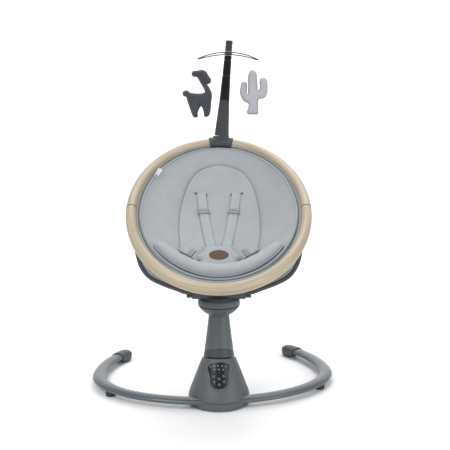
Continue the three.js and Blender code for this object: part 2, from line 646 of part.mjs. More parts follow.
// ---------------------------------------------------------------- seat ring
function ellipse(a, b, from, to, count, w = 0) {
  return new THREE.CatmullRomCurve3(Array.from({ length: count + 1 }, (_, i) => {
    const t = from + (to - from) * (i / count);
    return new THREE.Vector3(a * Math.cos(t), b * Math.sin(t), w);
  }), false, 'centripetal');
}
const plateTurn = Math.asin((JOINT_PLATE / 2 + 3 * GAP) / RING_HALF_LENGTH);
const ringSection = ovalSection(RING_AXIAL, RING_RADIAL, 12);
const upperHalf = sweep(
  ringSection, ellipse(RING_HALF_WIDTH, RING_HALF_LENGTH, plateTurn, Math.PI - plateTurn, 40), 24);
const lowerHalf = sweep(
  ringSection, ellipse(RING_HALF_WIDTH, RING_HALF_LENGTH, Math.PI + plateTurn, 2 * Math.PI - plateTurn, 40), 24);

// sleeve that both halves slide on to, with the thin plate between them and the pivot ear below
const sleeveTurn = SLEEVE_LENGTH / 2 / RING_HALF_LENGTH;
const sleevePath = (by) => ellipse(
  RING_HALF_WIDTH, RING_HALF_LENGTH, -sleeveTurn - by / RING_HALF_LENGTH, sleeveTurn + by / RING_HALF_LENGTH, 10);
const sleeveSolid = sweep(ovalSection(15, 12, 12), sleevePath(0), 8);
const sleeveRoom = sweep(ovalSection(15 + 5 * GAP, 12 + 5 * GAP, 12), sleevePath(1), 8);
const sleeveRooms = [sleeveRoom, mirrored(sleeveRoom)];
add(seat, 'ring_upper', cut(upperHalf, ...sleeveRooms), wood);
add(seat, 'ring_lower', cut(lowerHalf, ...sleeveRooms), wood);
const seamPlate = new THREE.ExtrudeGeometry(ovalSection(RING_RADIAL, RING_AXIAL, 24), {
  depth: JOINT_PLATE, bevelEnabled: false,
}).rotateX(Math.PI / 2).translate(RING_HALF_WIDTH, JOINT_PLATE / 2, 0);

// the pivot ear hangs straight down beside the fork tip, so it is drawn upright and turned back
const earX = ARM_HALF_SPAN + ARM_THICKNESS / 2 + 0.6 + 3;
const ear = join(
  new THREE.CylinderGeometry(TIP_RADIUS, TIP_RADIUS, 6, 24).rotateZ(Math.PI / 2).translate(earX, 0, -PIVOT_DROP),
  box(6, 20, PIVOT_DROP - 10, earX, 0, -(PIVOT_DROP + 8) / 2),
  new THREE.CylinderGeometry(PIVOT_RADIUS, PIVOT_RADIUS, ARM_THICKNESS + 6, 28)
    .rotateZ(Math.PI / 2).translate(earX - ARM_THICKNESS / 2 - 1, 0, -PIVOT_DROP));
const ringRoom = sweep(
  ovalSection(RING_AXIAL + 5 * GAP, RING_RADIAL + 5 * GAP, 12),
  ellipse(RING_HALF_WIDTH, RING_HALF_LENGTH, -0.3, 0.3, 12), 10);
const earHere = cut(ear.rotateX(-RECLINE * deg), ringRoom);
const neckPlate = box(6, JOINT_PLATE, 12, earX, 0, -RING_AXIAL / 2 + 2);
addPair(seat, 'ring_joiner', join(sleeveSolid, seamPlate, neckPlate, earHere), darkGrey);

// ---------------------------------------------------------------- fabric
const innerHalfWidth = RING_HALF_WIDTH - RING_RADIAL / 2;
const innerHalfLength = RING_HALF_LENGTH - RING_RADIAL / 2;

// depth of the pad's face below the ring plane: flat-bottomed, steep near its edge
function seatFace(u, v, halfWidth, halfLength, extra = 0) {
  const rho = Math.min(Math.hypot(u / halfWidth, v / halfLength), 1);
  return -(SEAT_DEPTH + extra - SEAT_DEPTH_SLOPE * v) * (1 - rho ** 2.6) ** 0.8;
}

// a bowl between two faces: each is half width, half length, extra depth and rim height
function bowlBetween(inner, outer, sides) {
  const steps = [0, 0.3, 0.52, 0.7, 0.83, 0.92, 0.97, 1];
  const profile = [
    ...steps.map((r) => new THREE.Vector2(r, -1)), ...steps.toReversed().map((r) => new THREE.Vector2(r, 1))];
  return reshape(new THREE.LatheGeometry(profile, sides).rotateX(Math.PI / 2), (p) => {
    const face = p.z < 0 ? outer : inner;
    const u = p.x * face.halfWidth;
    const v = p.y * face.halfLength;
    p.set(u, v, face.rim + seatFace(u, v, face.halfWidth, face.halfLength, face.extra));
  });
}
const slingOuter = {
  halfWidth: innerHalfWidth - 0.8, halfLength: innerHalfLength - CLIP_WALL - 1,
  extra: PAD_THICKNESS + SLING_THICKNESS, rim: -6,
};
const slingInner = {
  halfWidth: slingOuter.halfWidth - SLING_THICKNESS, halfLength: slingOuter.halfLength - SLING_THICKNESS,
  extra: PAD_THICKNESS + 2, rim: -2,
};
add(seat, 'sling', bowlBetween(slingInner, slingOuter, 28), fabric);
const padOuter = {
  halfWidth: slingInner.halfWidth - 2, halfLength: slingInner.halfLength - 2,
  extra: PAD_THICKNESS, rim: -1,
};
const padInner = {
  halfWidth: slingInner.halfWidth - PAD_MARGIN, halfLength: slingInner.halfLength - PAD_MARGIN,
  extra: 0, rim: 3,
};
const padFace = (u, v) => padInner.rim + seatFace(u, v, padInner.halfWidth, padInner.halfLength);
add(seat, 'seat_pad', bowlBetween(padInner, padOuter, 28), fabric);

// height at which a ball of one radius rests on the pad
function ballHeight(u, v, radius) {
  let height = -Infinity;
  for (let a = 0; a < 24; a += 1) {
    for (const share of [0, 0.4, 0.7, 0.9, 0.98]) {
      const du = share * radius * Math.cos((a * Math.PI) / 12);
      const dv = share * radius * Math.sin((a * Math.PI) / 12);
      height = Math.max(height, padFace(u + du, v + dv) + radius * Math.sqrt(1 - share ** 2));
    }
  }
  return height;
}

// a round roll along a path, its radius given along its length
function roll(path, radiusAt, sides, rows) {
  const body = new THREE.CylinderGeometry(1, 1, 1, sides, rows).rotateX(Math.PI / 2);
  const upwards = new THREE.Vector3(0, 0, 1);
  return reshape(body, (p) => {
    const t = p.z + 0.5;
    const tangent = path.getTangentAt(t);
    const side = new THREE.Vector3().crossVectors(upwards, tangent).normalize();
    const up = new THREE.Vector3().crossVectors(tangent, side);
    const { x, y } = p;
    p.copy(path.getPointAt(t)).addScaledVector(side, x * radiusAt(t)).addScaledVector(up, y * radiusAt(t));
  });
}

// rolled lip across the front of the pad
const bolsterRadius = (t) => BOLSTER_RADIUS * (0.35 + 0.65 * Math.sin(Math.PI * t) ** 0.6);
const bolsterPath = through(Array.from({ length: 11 }, (_, i) => {
  const angle = (i / 5 - 1) * Math.PI / 2;
  const u = 140 * Math.sin(angle);
  const v = -108 - 100 * Math.cos(angle);
  return [u, v, ballHeight(u, v, bolsterRadius(i / 10) + 2.5)];
}));
add(seat, 'lip_bolster', roll(bolsterPath, bolsterRadius, 12, 14), fabric);

// ---------------------------------------------------------------- harness
const BUCKLE_V = -100;
const buckleFloor = padFace(0, BUCKLE_V) + 5.5;
const onPad = (u, v, lift) => [u, v, padFace(u, v) + lift];
const shoulderPath = through([
  onPad(46, 142, 6), onPad(42, 105, 8), onPad(35, 55, 8), onPad(27, 5, 7), onPad(20, -35, 8),
  onPad(15, BUCKLE_V + 22, 9)]);
const waistPath = through([
  onPad(94, -62, 10), onPad(80, -70, 9), onPad(62, -78, 8), onPad(44, BUCKLE_V + 2, 8), onPad(26, BUCKLE_V + 2, 9)]);
const crotchPath = through([
  [0, BUCKLE_V - 21.5, buckleFloor + 5], [0, BUCKLE_V - 34, buckleFloor + 7], onPad(0, BUCKLE_V - 50, 9),
  onPad(0, BUCKLE_V - 64, 7)]);
const shoulderSection = slabSection(STRAP_WIDTH, STRAP_THICKNESS);
const waistSection = slabSection(STRAP_THICKNESS, WAIST_WIDTH);
addPair(seat, 'shoulder_strap', sweep(shoulderSection, shoulderPath, 14), webbing);
addPair(seat, 'waist_strap', sweep(waistSection, waistPath, 10), webbing);
add(seat, 'crotch_strap', sweep(slabSection(30, STRAP_THICKNESS), crotchPath, 8), webbing);

// a frame that a strap runs through, set square to the strap at one of its steps
function adjusterOn(path, steps, step, across, inPlane, length) {
  const frames = path.computeFrenetFrames(steps, false);
  const frame = new THREE.Matrix4().makeBasis(frames.normals[step], frames.binormals[step], frames.tangents[step]);
  const rim = (size) => size + (size > STRAP_THICKNESS ? 7 : 5);
  return cut(box(rim(across), rim(inPlane), length), box(across + 2.4, inPlane + 2.4, length + 4))
    .applyMatrix4(frame).translate(...path.getPointAt(step / steps).toArray());
}
addPair(seat, 'shoulder_adjuster', adjusterOn(shoulderPath, 28, 8, STRAP_WIDTH, STRAP_THICKNESS, 13), darkGrey);
addPair(seat, 'waist_adjuster', adjusterOn(waistPath, 20, 8, STRAP_THICKNESS, WAIST_WIDTH, 11), darkGrey);

const buckle = plate(spline([[22, 14], [24, 0], [16, -17], [-16, -17], [-24, 0], [-22, 14]], 24), 10, 1.5);
const BUCKLE_HEIGHT = 10;
const buckleButton = (radius, low, high) => post(radius, high - low, 0, BUCKLE_V - 2, buckleFloor + low, 20);
add(seat, 'harness_buckle', cut(
  buckle.translate(0, BUCKLE_V, buckleFloor), buckleButton(7 + GAP, BUCKLE_HEIGHT - 4.2, BUCKLE_HEIGHT + 5)), darkGrey);
add(seat, 'buckle_button', buckleButton(7, BUCKLE_HEIGHT - 1.8, BUCKLE_HEIGHT + 2), black);
const crotchPad = plate(spline([
  [0, 40], [34, 37], [40, 20], [55, 2], [43, -14], [39, -36], [0, -40], [-39, -36], [-43, -14],
  [-55, 2], [-40, 20], [-34, 37]], 30), 8, 2);
add(seat, 'crotch_pad', crotchPad.translate(0, BUCKLE_V, buckleFloor + 15), fabric);
const patch = new THREE.CylinderGeometry(1, 1, 1.4, 28).rotateX(Math.PI / 2).scale(23.5, 17, 1);
add(seat, 'leather_patch', patch.translate(0, BUCKLE_V, buckleFloor + 15 + 8 + GAP + 0.7), leather);

// ---------------------------------------------------------------- toy mast
const clipTurn = CLIP_LENGTH / 2 / RING_HALF_WIDTH;
const clipPlace = Math.acos(MAST_OFFSET / RING_HALF_WIDTH);
const mastFootV = RING_HALF_LENGTH * Math.sin(clipPlace);
const topArc = (half) => ellipse(
  RING_HALF_WIDTH, RING_HALF_LENGTH, clipPlace - half, clipPlace + half, 14);
const clipBody = sweep(
  ovalSection(RING_AXIAL + 2 * CLIP_WALL, RING_RADIAL + 2 * CLIP_WALL, 16), topArc(clipTurn), 8);
const clipBore = sweep(ovalSection(RING_AXIAL + 8 * GAP, RING_RADIAL + 8 * GAP, 12), topArc(clipTurn + 0.1), 10);

// the mast is drawn upright: height above its foot, and how far forward it has curved
const MAST_HEIGHT = 266;
const mast = new THREE.Group();
mast.position.set(MAST_OFFSET, mastFootV, 0);
mast.rotation.x = -RECLINE * deg;
seat.add(mast);
const mastTilt = new THREE.Group();
mastTilt.rotation.y = MAST_LEAN * deg;
mast.add(mastTilt);
const MAST_REACH = 122;
const mastForward = (h) => -MAST_REACH * (Math.max(h, 0) / MAST_HEIGHT) ** 2.1;
function mastWidth(h) {
  const t = h / MAST_HEIGHT;
  return MAST_TOP_WIDTH + (MAST_BASE_WIDTH - MAST_TOP_WIDTH) * (1 - t) ** 1.7;
}
// an oval loft from one height to another, smaller all round by shrink
function mastLoft(low, high, shrink, rows) {
  const body = new THREE.CylinderGeometry(1, 1, 1, 16, rows).rotateX(Math.PI / 2);
  return reshape(body, (p) => {
    const h = low + (p.z + 0.5) * (high - low);
    const depth = 11 + 9 * (1 - h / MAST_HEIGHT);
    p.set(p.x * (mastWidth(h) / 2 - shrink), mastForward(h) + p.y * (depth / 2 - shrink), h);
  });
}
const socketTop = 21;
const tongueBottom = 16.5;
mast.updateMatrix();
mastTilt.updateMatrix();
const socket = mastLoft(4, socketTop, -2, 2).applyMatrix4(mast.matrix);
const tongueRoom = mastLoft(tongueBottom - 1.5, socketTop + 8, 3.5 - 2.5 * GAP, 2)
  .applyMatrix4(mastTilt.matrix).applyMatrix4(mast.matrix);
add(seat, 'ring_clip', cut(join(clipBody, socket), clipBore, tongueRoom), darkGrey);
const MAST_SPLIT = 119;
const BAR_LEVEL = 235;
add(mastTilt, 'mast_lower', join(
  mastLoft(socketTop + 2.5, MAST_SPLIT, 0, 5), mastLoft(tongueBottom, socketTop + 5, 3.5, 2)), darkGrey);
add(mastTilt, 'mast_upper', mastLoft(MAST_SPLIT + GAP, BAR_LEVEL - 5, 0, 6), black);
add(mastTilt, 'mast_cap', mastLoft(BAR_LEVEL + 5, MAST_HEIGHT, 0, 3), black);

// crossbar: two wires side by side that meet at their drooping tips
const barY = mastForward(BAR_LEVEL);
const droop = (u) => -BAR_DROOP * (u / BAR_HALF_SPAN) ** 2 + BAR_LEVELLING * u;
const barLoop = (from, to) => new THREE.CatmullRomCurve3(Array.from({ length: 25 }, (_, i) => {
  const t = from + (to - from) * (i / 24);
  const u = BAR_HALF_SPAN * Math.cos(t);
  return new THREE.Vector3(u, barY + 7 * Math.sin(t), BAR_LEVEL + droop(u));
}), false, 'centripetal');
const wire = ovalSection(BAR_WIRE, BAR_WIRE, 6);
const barHub = mastLoft(BAR_LEVEL - 5 + GAP, BAR_LEVEL + 5 - GAP, 0.5, 2);
add(mastTilt, 'crossbar', join(
  barHub, sweep(wire, barLoop(-Math.PI / 2, Math.PI / 2), 14),
  sweep(wire, barLoop(Math.PI / 2, 1.5 * Math.PI), 14)), black);

// ---------------------------------------------------------------- hanging toys
function hanging(side, name, outline, material) {
  const toy = new THREE.Group();
  toy.position.set(side * TOY_SPAN, barY, BAR_LEVEL + droop(side * TOY_SPAN) - BAR_WIRE / 2 - GAP);
  toy.rotation.y = -MAST_LEAN * deg;
  mastTilt.add(toy);
  const body = plate(outline, TOY_THICKNESS).translate(0, 0, -TOY_THICKNESS / 2)
    .rotateX(Math.PI / 2).translate(0, 0, -STRING_LENGTH);
  const string = post(STRING_RADIUS, STRING_LENGTH + 5, 0, 0, -STRING_LENGTH - 5, 8);
  add(toy, name, join(body, string), material);
}
const llamaOutline = spline([
  [-14, -3.5], [-4, -2], [3, -1.5], [12, -6], [17, -15], [23, -23], [23, -32], [17, -36], [11, -34.5],
  [17, -42], [24, -55], [26, -66], [24, -82], [22, -105], [17, -117], [7, -118], [6, -108], [1, -94],
  [-3, -93], [-7, -99], [-11, -110], [-10, -118], [-17, -121], [-23, -116], [-30, -97], [-36, -79],
  [-39, -69], [-46, -66], [-48, -58], [-42, -53], [-35, -54], [-31, -58], [-22, -60], [-5, -61],
  [7, -58.5], [8, -52], [3, -42], [-3, -32], [-8, -23], [-13, -17.5], [-20, -17.5], [-25, -11], [-21, -4]], 56);
hanging(-1, 'llama', llamaOutline, felt);
const cactusOutline = spline([
  [-3, -1], [-10, -2], [-14, -10], [-15, -19], [-15, -36], [-15.5, -58], [-18, -61], [-19.5, -55],
  [-18.6, -40], [-19.5, -32.5], [-25, -29.5], [-31, -31.6], [-34, -42], [-36, -55], [-33, -66],
  [-28, -75], [-19.5, -81], [-14, -84], [-13.5, -92], [-17, -109], [-2, -111], [10, -109.5], [10, -92],
  [11.7, -74], [24, -70], [31.6, -62], [34, -44.6], [32.5, -27], [28, -21], [21.6, -20], [16, -23],
  [14.3, -31.6], [16, -42], [13, -49], [8.7, -51], [8.2, -40], [6.5, -18.6], [4.3, -6.5]], 52);
hanging(1, 'cactus', cactusOutline, satin);

// the origin is on the floor, at the middle of the whole swing
swing.updateMatrixWorld(true);
const middle = new THREE.Box3().setFromObject(swing, true).getCenter(new THREE.Vector3());
swing.position.set(-middle.x, -middle.y, 0);

export default swing;
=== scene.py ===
"""Looks for a powered baby swing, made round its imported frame.

Shapes are worked out in millimetres, each in the frame it is drawn in, and placed in metres.
A surface is a grid of points: rows along the piece, places round its section.
"""

import math

import bpy
from mathutils.kdtree import KDTree
import numpy as np
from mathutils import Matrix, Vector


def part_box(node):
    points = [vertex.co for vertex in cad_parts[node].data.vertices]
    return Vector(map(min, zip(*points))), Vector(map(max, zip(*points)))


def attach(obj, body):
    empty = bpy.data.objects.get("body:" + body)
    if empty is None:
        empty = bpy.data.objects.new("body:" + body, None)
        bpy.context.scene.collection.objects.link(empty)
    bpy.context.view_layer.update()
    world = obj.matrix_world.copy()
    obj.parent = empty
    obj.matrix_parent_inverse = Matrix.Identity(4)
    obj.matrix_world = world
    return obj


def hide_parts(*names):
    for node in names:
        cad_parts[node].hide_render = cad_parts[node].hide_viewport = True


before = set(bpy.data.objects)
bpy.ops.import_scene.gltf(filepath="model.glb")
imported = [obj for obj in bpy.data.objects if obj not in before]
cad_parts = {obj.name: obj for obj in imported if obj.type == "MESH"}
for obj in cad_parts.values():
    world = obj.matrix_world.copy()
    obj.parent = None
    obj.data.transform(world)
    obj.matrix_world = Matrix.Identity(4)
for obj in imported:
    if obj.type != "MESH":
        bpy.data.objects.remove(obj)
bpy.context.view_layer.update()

# ---------------------------------------------------------------- sizes, in millimetres
MM = 0.001
GAP = 0.3

BASE_HALF_WIDTH = 300
BASE_FRONT = -106
BASE_WIDEST = 105
BASE_BACK_RADIUS = 317
BASE_BACK_ANGLE = 40.8
BASE_FRONT_SHARE = 0.68
BASE_TURN = 5.3
TUBE_WIDTH = 35
TUBE_HEIGHT = 17
TUBE_Z = 20
TUBE_START = 34
CAP_WALL = 3
CAP_LENGTH = 56
CAP_OVERLAP = 22
FOOT_X = 268
FOOT_RADIUS = 13

PEDESTAL_Y = -61
PEDESTAL_RADIUS = 75.5
PEDESTAL_SHEAR = 0.09
PAN_HEIGHT = 20.5
INLET_Z = 40
PANEL_Z = 84
KEY_PLACES = ((-12.5, -3.5), (11, -2.5), (0, -9.5), (-11.5, -17), (12, -16), (1, -23))
LENS_PROUD = 0.7

LEAN = 9
SWAY_Y = -51
SWAY_Z = 114
SWAY_GAP = 3.4
STALK_FOOT_RADIUS = 38.5
STALK_TOP_RADIUS = 25.7
STALK_LENGTH = 98
CUFF_HEIGHT = 22
CUFF_ARCH = 90

HUB_Y = -31
HUB_RADIUS = 52.4
HUB_BOTTOM_Z = 216
HUB_WIDEST_Z = 246
HUB_TOP_Z = 256
COLLAR_RADIUS = 44.5
SADDLE_TOP_Z = 279
SADDLE_HALF = 66
ARM_DEPTH = 50
ARM_THICKNESS = 11
ARM_HALF_SPAN = 204
TAPER_FROM = 375
TIP_RADIUS = 13

SEAT_Y = -20
SEAT_Z = 476
RECLINE = 31
RING_HALF_WIDTH = 213
RING_HALF_LENGTH = 281
RING_RADIAL = 26
RING_AXIAL = 29
JOINT_PLATE = 1.6
PIVOT_DROP = 34
SEAT_DEPTH = 96
DEPTH_SLOPE = 0.05
SLOT_U = 47
SLOT_V = 139
BOLSTER_RADIUS = 20
SWELL = 1.5
SWELL_FRAMES = 20
STRAP_WIDTH = 23
STRAP_THICKNESS = 1.6
WAIST_WIDTH = 20
BUCKLE_V = -100
CROTCH_LIFT = 15
CROTCH_CROWN = 8

MAST_OFFSET = 6
MAST_LEAN = 4.5
MAST_BASE_WIDTH = 42
MAST_TOP_WIDTH = 18
MAST_HEIGHT = 266
MAST_REACH = 122
MAST_SPLIT = 119
MAST_ARCH = 8
SOCKET_TOP = 21
BAR_LEVEL = 235
BAR_HALF_SPAN = 76.5
BAR_WIRE = 3
BAR_LOOP_HALF = 7
BAR_LOOP_TILT = 2.6
BAR_DROOP = 15
BAR_LEVELLING = 0.066
TOY_SPAN = 67
STRING_LENGTH = 28
PIPING_RADIUS = 0.9
TOY_THICKNESS = 20
TOY_EDGE_REACH = 11
TOY_VOXEL = 1.3


# ---------------------------------------------------------------- frames
def turn(axis, degrees):
    """Rotation matrix about one axis, by the right-hand rule."""
    c = math.cos(math.radians(degrees))
    s = math.sin(math.radians(degrees))
    i, j = {"x": (1, 2), "y": (2, 0), "z": (0, 1)}[axis]
    matrix = np.eye(3)
    matrix[i, i] = matrix[j, j] = c
    matrix[i, j] = -s
    matrix[j, i] = s
    return matrix


def inside(outer, matrix, shift):
    """A frame given by its turn and shift in an outer frame."""
    return outer[0] @ matrix, outer[0] @ np.asarray(shift, float) + outer[1]


grip_low, grip_high = (np.array(corner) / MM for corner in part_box("grip_ring"))
middle = (grip_low + grip_high) / 2
PART = (np.eye(3), np.array([middle[0], middle[1] - PEDESTAL_Y, 0.0]))
axle = np.array([0.0, PEDESTAL_Y, 0.0])
FLOOR = inside(PART, turn("z", BASE_TURN), axle - turn("z", BASE_TURN) @ axle)
SWAY = inside(PART, turn("x", -LEAN), (0, SWAY_Y, SWAY_Z))
HUB = inside(PART, np.eye(3), (0, HUB_Y, 0))
PEDESTAL = inside(PART, np.eye(3), (0, PEDESTAL_Y, 0))
SEAT = inside(PART, turn("x", RECLINE), (0, SEAT_Y, SEAT_Z))
clip_place = math.acos(MAST_OFFSET / RING_HALF_WIDTH)
mast_foot = (MAST_OFFSET, RING_HALF_LENGTH * math.sin(clip_place), 0)
MAST_FOOT = inside(SEAT, turn("x", -RECLINE), mast_foot)
MAST = inside(MAST_FOOT, turn("y", MAST_LEAN), (0, 0, 0))


# ---------------------------------------------------------------- curves and sections
def unit(vectors):
    """Each vector over its own length."""
    return vectors / np.maximum(np.linalg.norm(vectors, axis=-1, keepdims=True), 1e-9)


def evenly(points, count, closed=False):
    """The same line, with points at even distances along it."""
    line = np.vstack([points, points[:1]]) if closed else points
    steps = np.linalg.norm(np.diff(line, axis=0), axis=1)
    travelled = np.concatenate([[0], np.cumsum(steps)])
    wanted = np.linspace(0, travelled[-1], count, endpoint=not closed)
    return np.stack([np.interp(wanted, travelled, line[:, k]) for k in range(line.shape[1])], -1)


def curve(points, count, closed=False):
    """Catmull-Rom curve: between two points, the cubic whose slopes there join their neighbours."""
    p = np.asarray(points, float)
    if closed:
        p = np.vstack([p[-1:], p, p[:2]])
    else:
        p = np.vstack([2 * p[0] - p[1], p, 2 * p[-1] - p[-2]])
    t = np.linspace(0, len(p) - 3, count * 6)
    k = np.minimum(t.astype(int), len(p) - 4)
    f = (t - k)[:, None]
    a, b, c, d = p[k], p[k + 1], p[k + 2], p[k + 3]
    line = 0.5 * (2 * b + (c - a) * f + (2 * a - 5 * b + 4 * c - d) * f**2 + (3 * b - a - 3 * c + d) * f**3)
    if closed:
        line = line[:-1]
    return evenly(line, count, closed)


def soften(points, reach, steps=5, closed=False):
    """Corners eased: each becomes a parabola that starts and ends within reach of it."""
    p = np.asarray(points, float)
    before = np.roll(p, 1, axis=0)
    after = np.roll(p, -1, axis=0)
    to_before = np.linalg.norm(before - p, axis=1, keepdims=True)
    to_after = np.linalg.norm(after - p, axis=1, keepdims=True)
    start = p + (before - p) * np.minimum(reach / to_before, 0.45)
    end = p + (after - p) * np.minimum(reach / to_after, 0.45)
    t = np.linspace(0, 1, steps)[None, :, None]
    eased = (1 - t) ** 2 * start[:, None] + 2 * t * (1 - t) * p[:, None] + t**2 * end[:, None]
    if closed:
        return eased.reshape(-1, p.shape[1])
    return np.vstack([p[:1], eased[1:-1].reshape(-1, p.shape[1]), p[-1:]])


def oval(wide, tall, count=40, power=2.0):
    """Superellipse: half sizes times cosine and sine, each to 2 over the power, with its sign."""
    t = np.arange(count) / count * 2 * np.pi
    x = np.sign(np.cos(t)) * np.abs(np.cos(t)) ** (2 / power)
    y = np.sign(np.sin(t)) * np.abs(np.sin(t)) ** (2 / power)
    return np.stack([x * wide / 2, y * tall / 2], -1)


def slab(wide, tall, radius, corner=6):
    """Rectangle with round corners: a quarter circle at each, pushed out to the corner's centre."""
    t = np.concatenate([np.linspace(q, q + 1, corner) for q in range(4)]) * np.pi / 2
    side = np.repeat([1, -1, -1, 1], corner)
    level = np.repeat([1, 1, -1, -1], corner)
    x = side * (wide / 2 - radius) + radius * np.cos(t)
    y = level * (tall / 2 - radius) + radius * np.sin(t)
    return np.stack([x, y], -1)


def carried(path, section, up=(0, 0, 1)):
    """A section carried along a path, upright against up. Its guide is length along, across, and up."""
    ahead = unit(np.gradient(path, axis=0))
    side = unit(np.cross(ahead, up))
    lift = np.cross(side, ahead)
    section = np.broadcast_to(section, (len(path),) + section.shape[-2:])
    rows = path[:, None] + section[..., :1] * side[:, None] + section[..., 1:] * lift[:, None]
    travelled = np.concatenate([[0], np.cumsum(np.linalg.norm(np.diff(path, axis=0), axis=1))])
    guide = np.concatenate([np.broadcast_to(travelled[:, None, None], rows[..., :1].shape), section], -1)
    return rows, guide


def looped(path, radius, sides=10):
    """A round cord along a closed path: circles square to it, laid out from a nearly upright line."""
    ahead = unit(np.roll(path, -1, axis=0) - np.roll(path, 1, axis=0))
    side = unit(np.cross(ahead, (0.02, 0.03, 1.0)))
    lift = np.cross(side, ahead)
    t = np.arange(sides) / sides * 2 * np.pi
    return path[:, None] + radius * (
        np.cos(t)[None, :, None] * side[:, None] + np.sin(t)[None, :, None] * lift[:, None])


def spun(profile, count=96, phase=0.0):
    """A profile of radius and height, turned about the upright axis."""
    t = phase + np.arange(count) / count * 2 * np.pi
    r, z = profile[:, :1], profile[:, 1:]
    return np.stack([r * np.cos(t), r * np.sin(t), np.broadcast_to(z, (len(profile), count))], -1)


def block(centre, half, radius, rows=16, places=32):
    """Box with round edges: a ball of the edge radius, each eighth pushed out to its own corner."""
    half = np.asarray(half, float)
    quarter = places // 4
    t = np.concatenate([np.linspace(q, q + 1, quarter) for q in range(4)]) * np.pi / 2
    sign_x = np.repeat([1, -1, -1, 1], quarter)
    sign_y = np.repeat([1, 1, -1, -1], quarter)
    up = np.concatenate([np.linspace(-0.499, 0, rows // 2), np.linspace(0, 0.499, rows // 2)]) * np.pi
    sign_z = np.repeat([-1, 1], rows // 2)
    ball = np.stack([
        np.cos(up)[:, None] * np.cos(t), np.cos(up)[:, None] * np.sin(t),
        np.broadcast_to(np.sin(up)[:, None], (len(up), len(t)))], -1)
    corner = np.stack(np.broadcast_arrays(sign_x[None], sign_y[None], sign_z[:, None]), -1)
    return np.asarray(centre) + corner * (half - radius) + radius * ball


def distance_to(points, outline, closed=True):
    """Shortest distance from each point to a line of straight pieces, in the plane."""
    a = outline if closed else outline[:-1]
    b = np.roll(outline, -1, axis=0) if closed else outline[1:]
    best = np.full(len(points), 1e9)
    for start, end in zip(a, b):
        run = end - start
        share = np.clip(((points - start) @ run) / max(run @ run, 1e-9), 0, 1)
        best = np.minimum(best, np.linalg.norm(points - start - share[:, None] * run, axis=1))
    return best


def within(points, outline):
    """True inside an outline: a level line from the point crosses it an odd number of times."""
    odd = np.zeros(len(points), bool)
    for (x0, y0), (x1, y1) in zip(outline, np.roll(outline, -1, axis=0)):
        if y0 == y1:
            continue
        spans = (points[:, 1] > min(y0, y1)) & (points[:, 1] <= max(y0, y1))
        at = x0 + (points[:, 1] - y0) * (x1 - x0) / (y1 - y0)
        odd ^= spans & (points[:, 0] < at)
    return odd


def smooth_step(x):
    """0 below 0, 1 above 1, and 3x² − 2x³ between."""
    x = np.clip(x, 0, 1)
    return x * x * (3 - 2 * x)


# ---------------------------------------------------------------- meshes
class Mould:
    """Gathers surfaces drawn in one frame into one mesh."""

    def __init__(self, place):
        self.turn, self.shift = place
        self.points, self.guides, self.tones = [], [], []
        self.quads, self.fans = [], []
        self.count = 0

    def skin(self, rows, guide=None, tone=None, ring=False):
        """A closed surface: its ends are fans to their middles, or joined to each other if ring.

        Its faces are turned to point outwards by the sign of the volume they enclose.
        """
        m, n, _ = rows.shape
        points = rows.reshape(-1, 3)
        guides = (rows if guide is None else guide).reshape(-1, 3)
        tones = np.zeros(m * n) if tone is None else np.asarray(tone, float).reshape(-1)
        i, j = np.meshgrid(np.arange(m if ring else m - 1), np.arange(n), indexing="ij")
        low = i * n
        high = ((i + 1) % m) * n
        following = (j + 1) % n
        quads = np.stack([low + j, low + following, high + following, high + j], -1).reshape(-1, 4)
        fans = np.zeros((0, 3), int)
        if not ring:
            around = np.arange(n)
            after = (around + 1) % n
            first = np.full(n, m * n)
            last = np.full(n, m * n + 1)
            top = (m - 1) * n
            fans = np.vstack([
                np.stack([first, after, around], -1), np.stack([last, top + around, top + after], -1)])
            points = np.vstack([points, rows[0].mean(0), rows[-1].mean(0)])
            guides = np.vstack([guides, guides[:n].mean(0), guides[-n:].mean(0)])
            tones = np.concatenate([tones, [tones[:n].mean(), tones[-n:].mean()]])
        corners = np.vstack([quads[:, :3], quads[:, [0, 2, 3]], fans])
        a, b, c = (points[corners[:, k]] - points.mean(0) for k in range(3))
        if np.einsum("ij,ij->i", a, np.cross(b, c)).sum() < 0:
            quads = quads[:, ::-1]
            fans = fans[:, ::-1]
        self.points.append(points)
        self.guides.append(guides)
        self.tones.append(tones)
        self.quads.append(quads + self.count)
        self.fans.append(fans + self.count)
        self.count += len(points)
        return self

    def cast(self, name, material, body, slot, replaced=(), crease=35):
        """The finished piece: a mesh in metres, riding on its body."""
        points = (np.vstack(self.points) @ self.turn.T + self.shift) * MM
        quads = np.vstack(self.quads)
        fans = np.vstack(self.fans)
        mesh = bpy.data.meshes.new(name)
        mesh.vertices.add(len(points))
        mesh.vertices.foreach_set("co", points.ravel())
        mesh.loops.add(quads.size + fans.size)
        mesh.loops.foreach_set("vertex_index", np.concatenate([quads.ravel(), fans.ravel()]))
        mesh.polygons.add(len(quads) + len(fans))
        starts = np.concatenate([np.arange(len(quads)) * 4, quads.size + np.arange(len(fans)) * 3])
        mesh.polygons.foreach_set("loop_start", starts)
        mesh.update(calc_edges=True)
        guide = mesh.attributes.new("guide", "FLOAT_VECTOR", "POINT")
        guide.data.foreach_set("vector", (np.vstack(self.guides) * MM).ravel())
        tone = mesh.attributes.new("tone", "FLOAT", "POINT")
        tone.data.foreach_set("value", np.concatenate(self.tones))
        mesh.validate()
        mesh.shade_smooth()
        mesh.set_sharp_from_angle(angle=math.radians(crease))
        return settle(bpy.data.objects.new(name, mesh), material, body, replaced)


def settle(piece, material, body, replaced=()):
    """Gives a piece its material, its body and the CAD nodes that it stands for."""
    if piece.name not in bpy.context.scene.collection.objects:
        bpy.context.scene.collection.objects.link(piece)
    piece.data.materials.clear()
    piece.data.materials.append(material)
    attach(piece, body)
    if replaced:
        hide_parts(*replaced)
    return piece


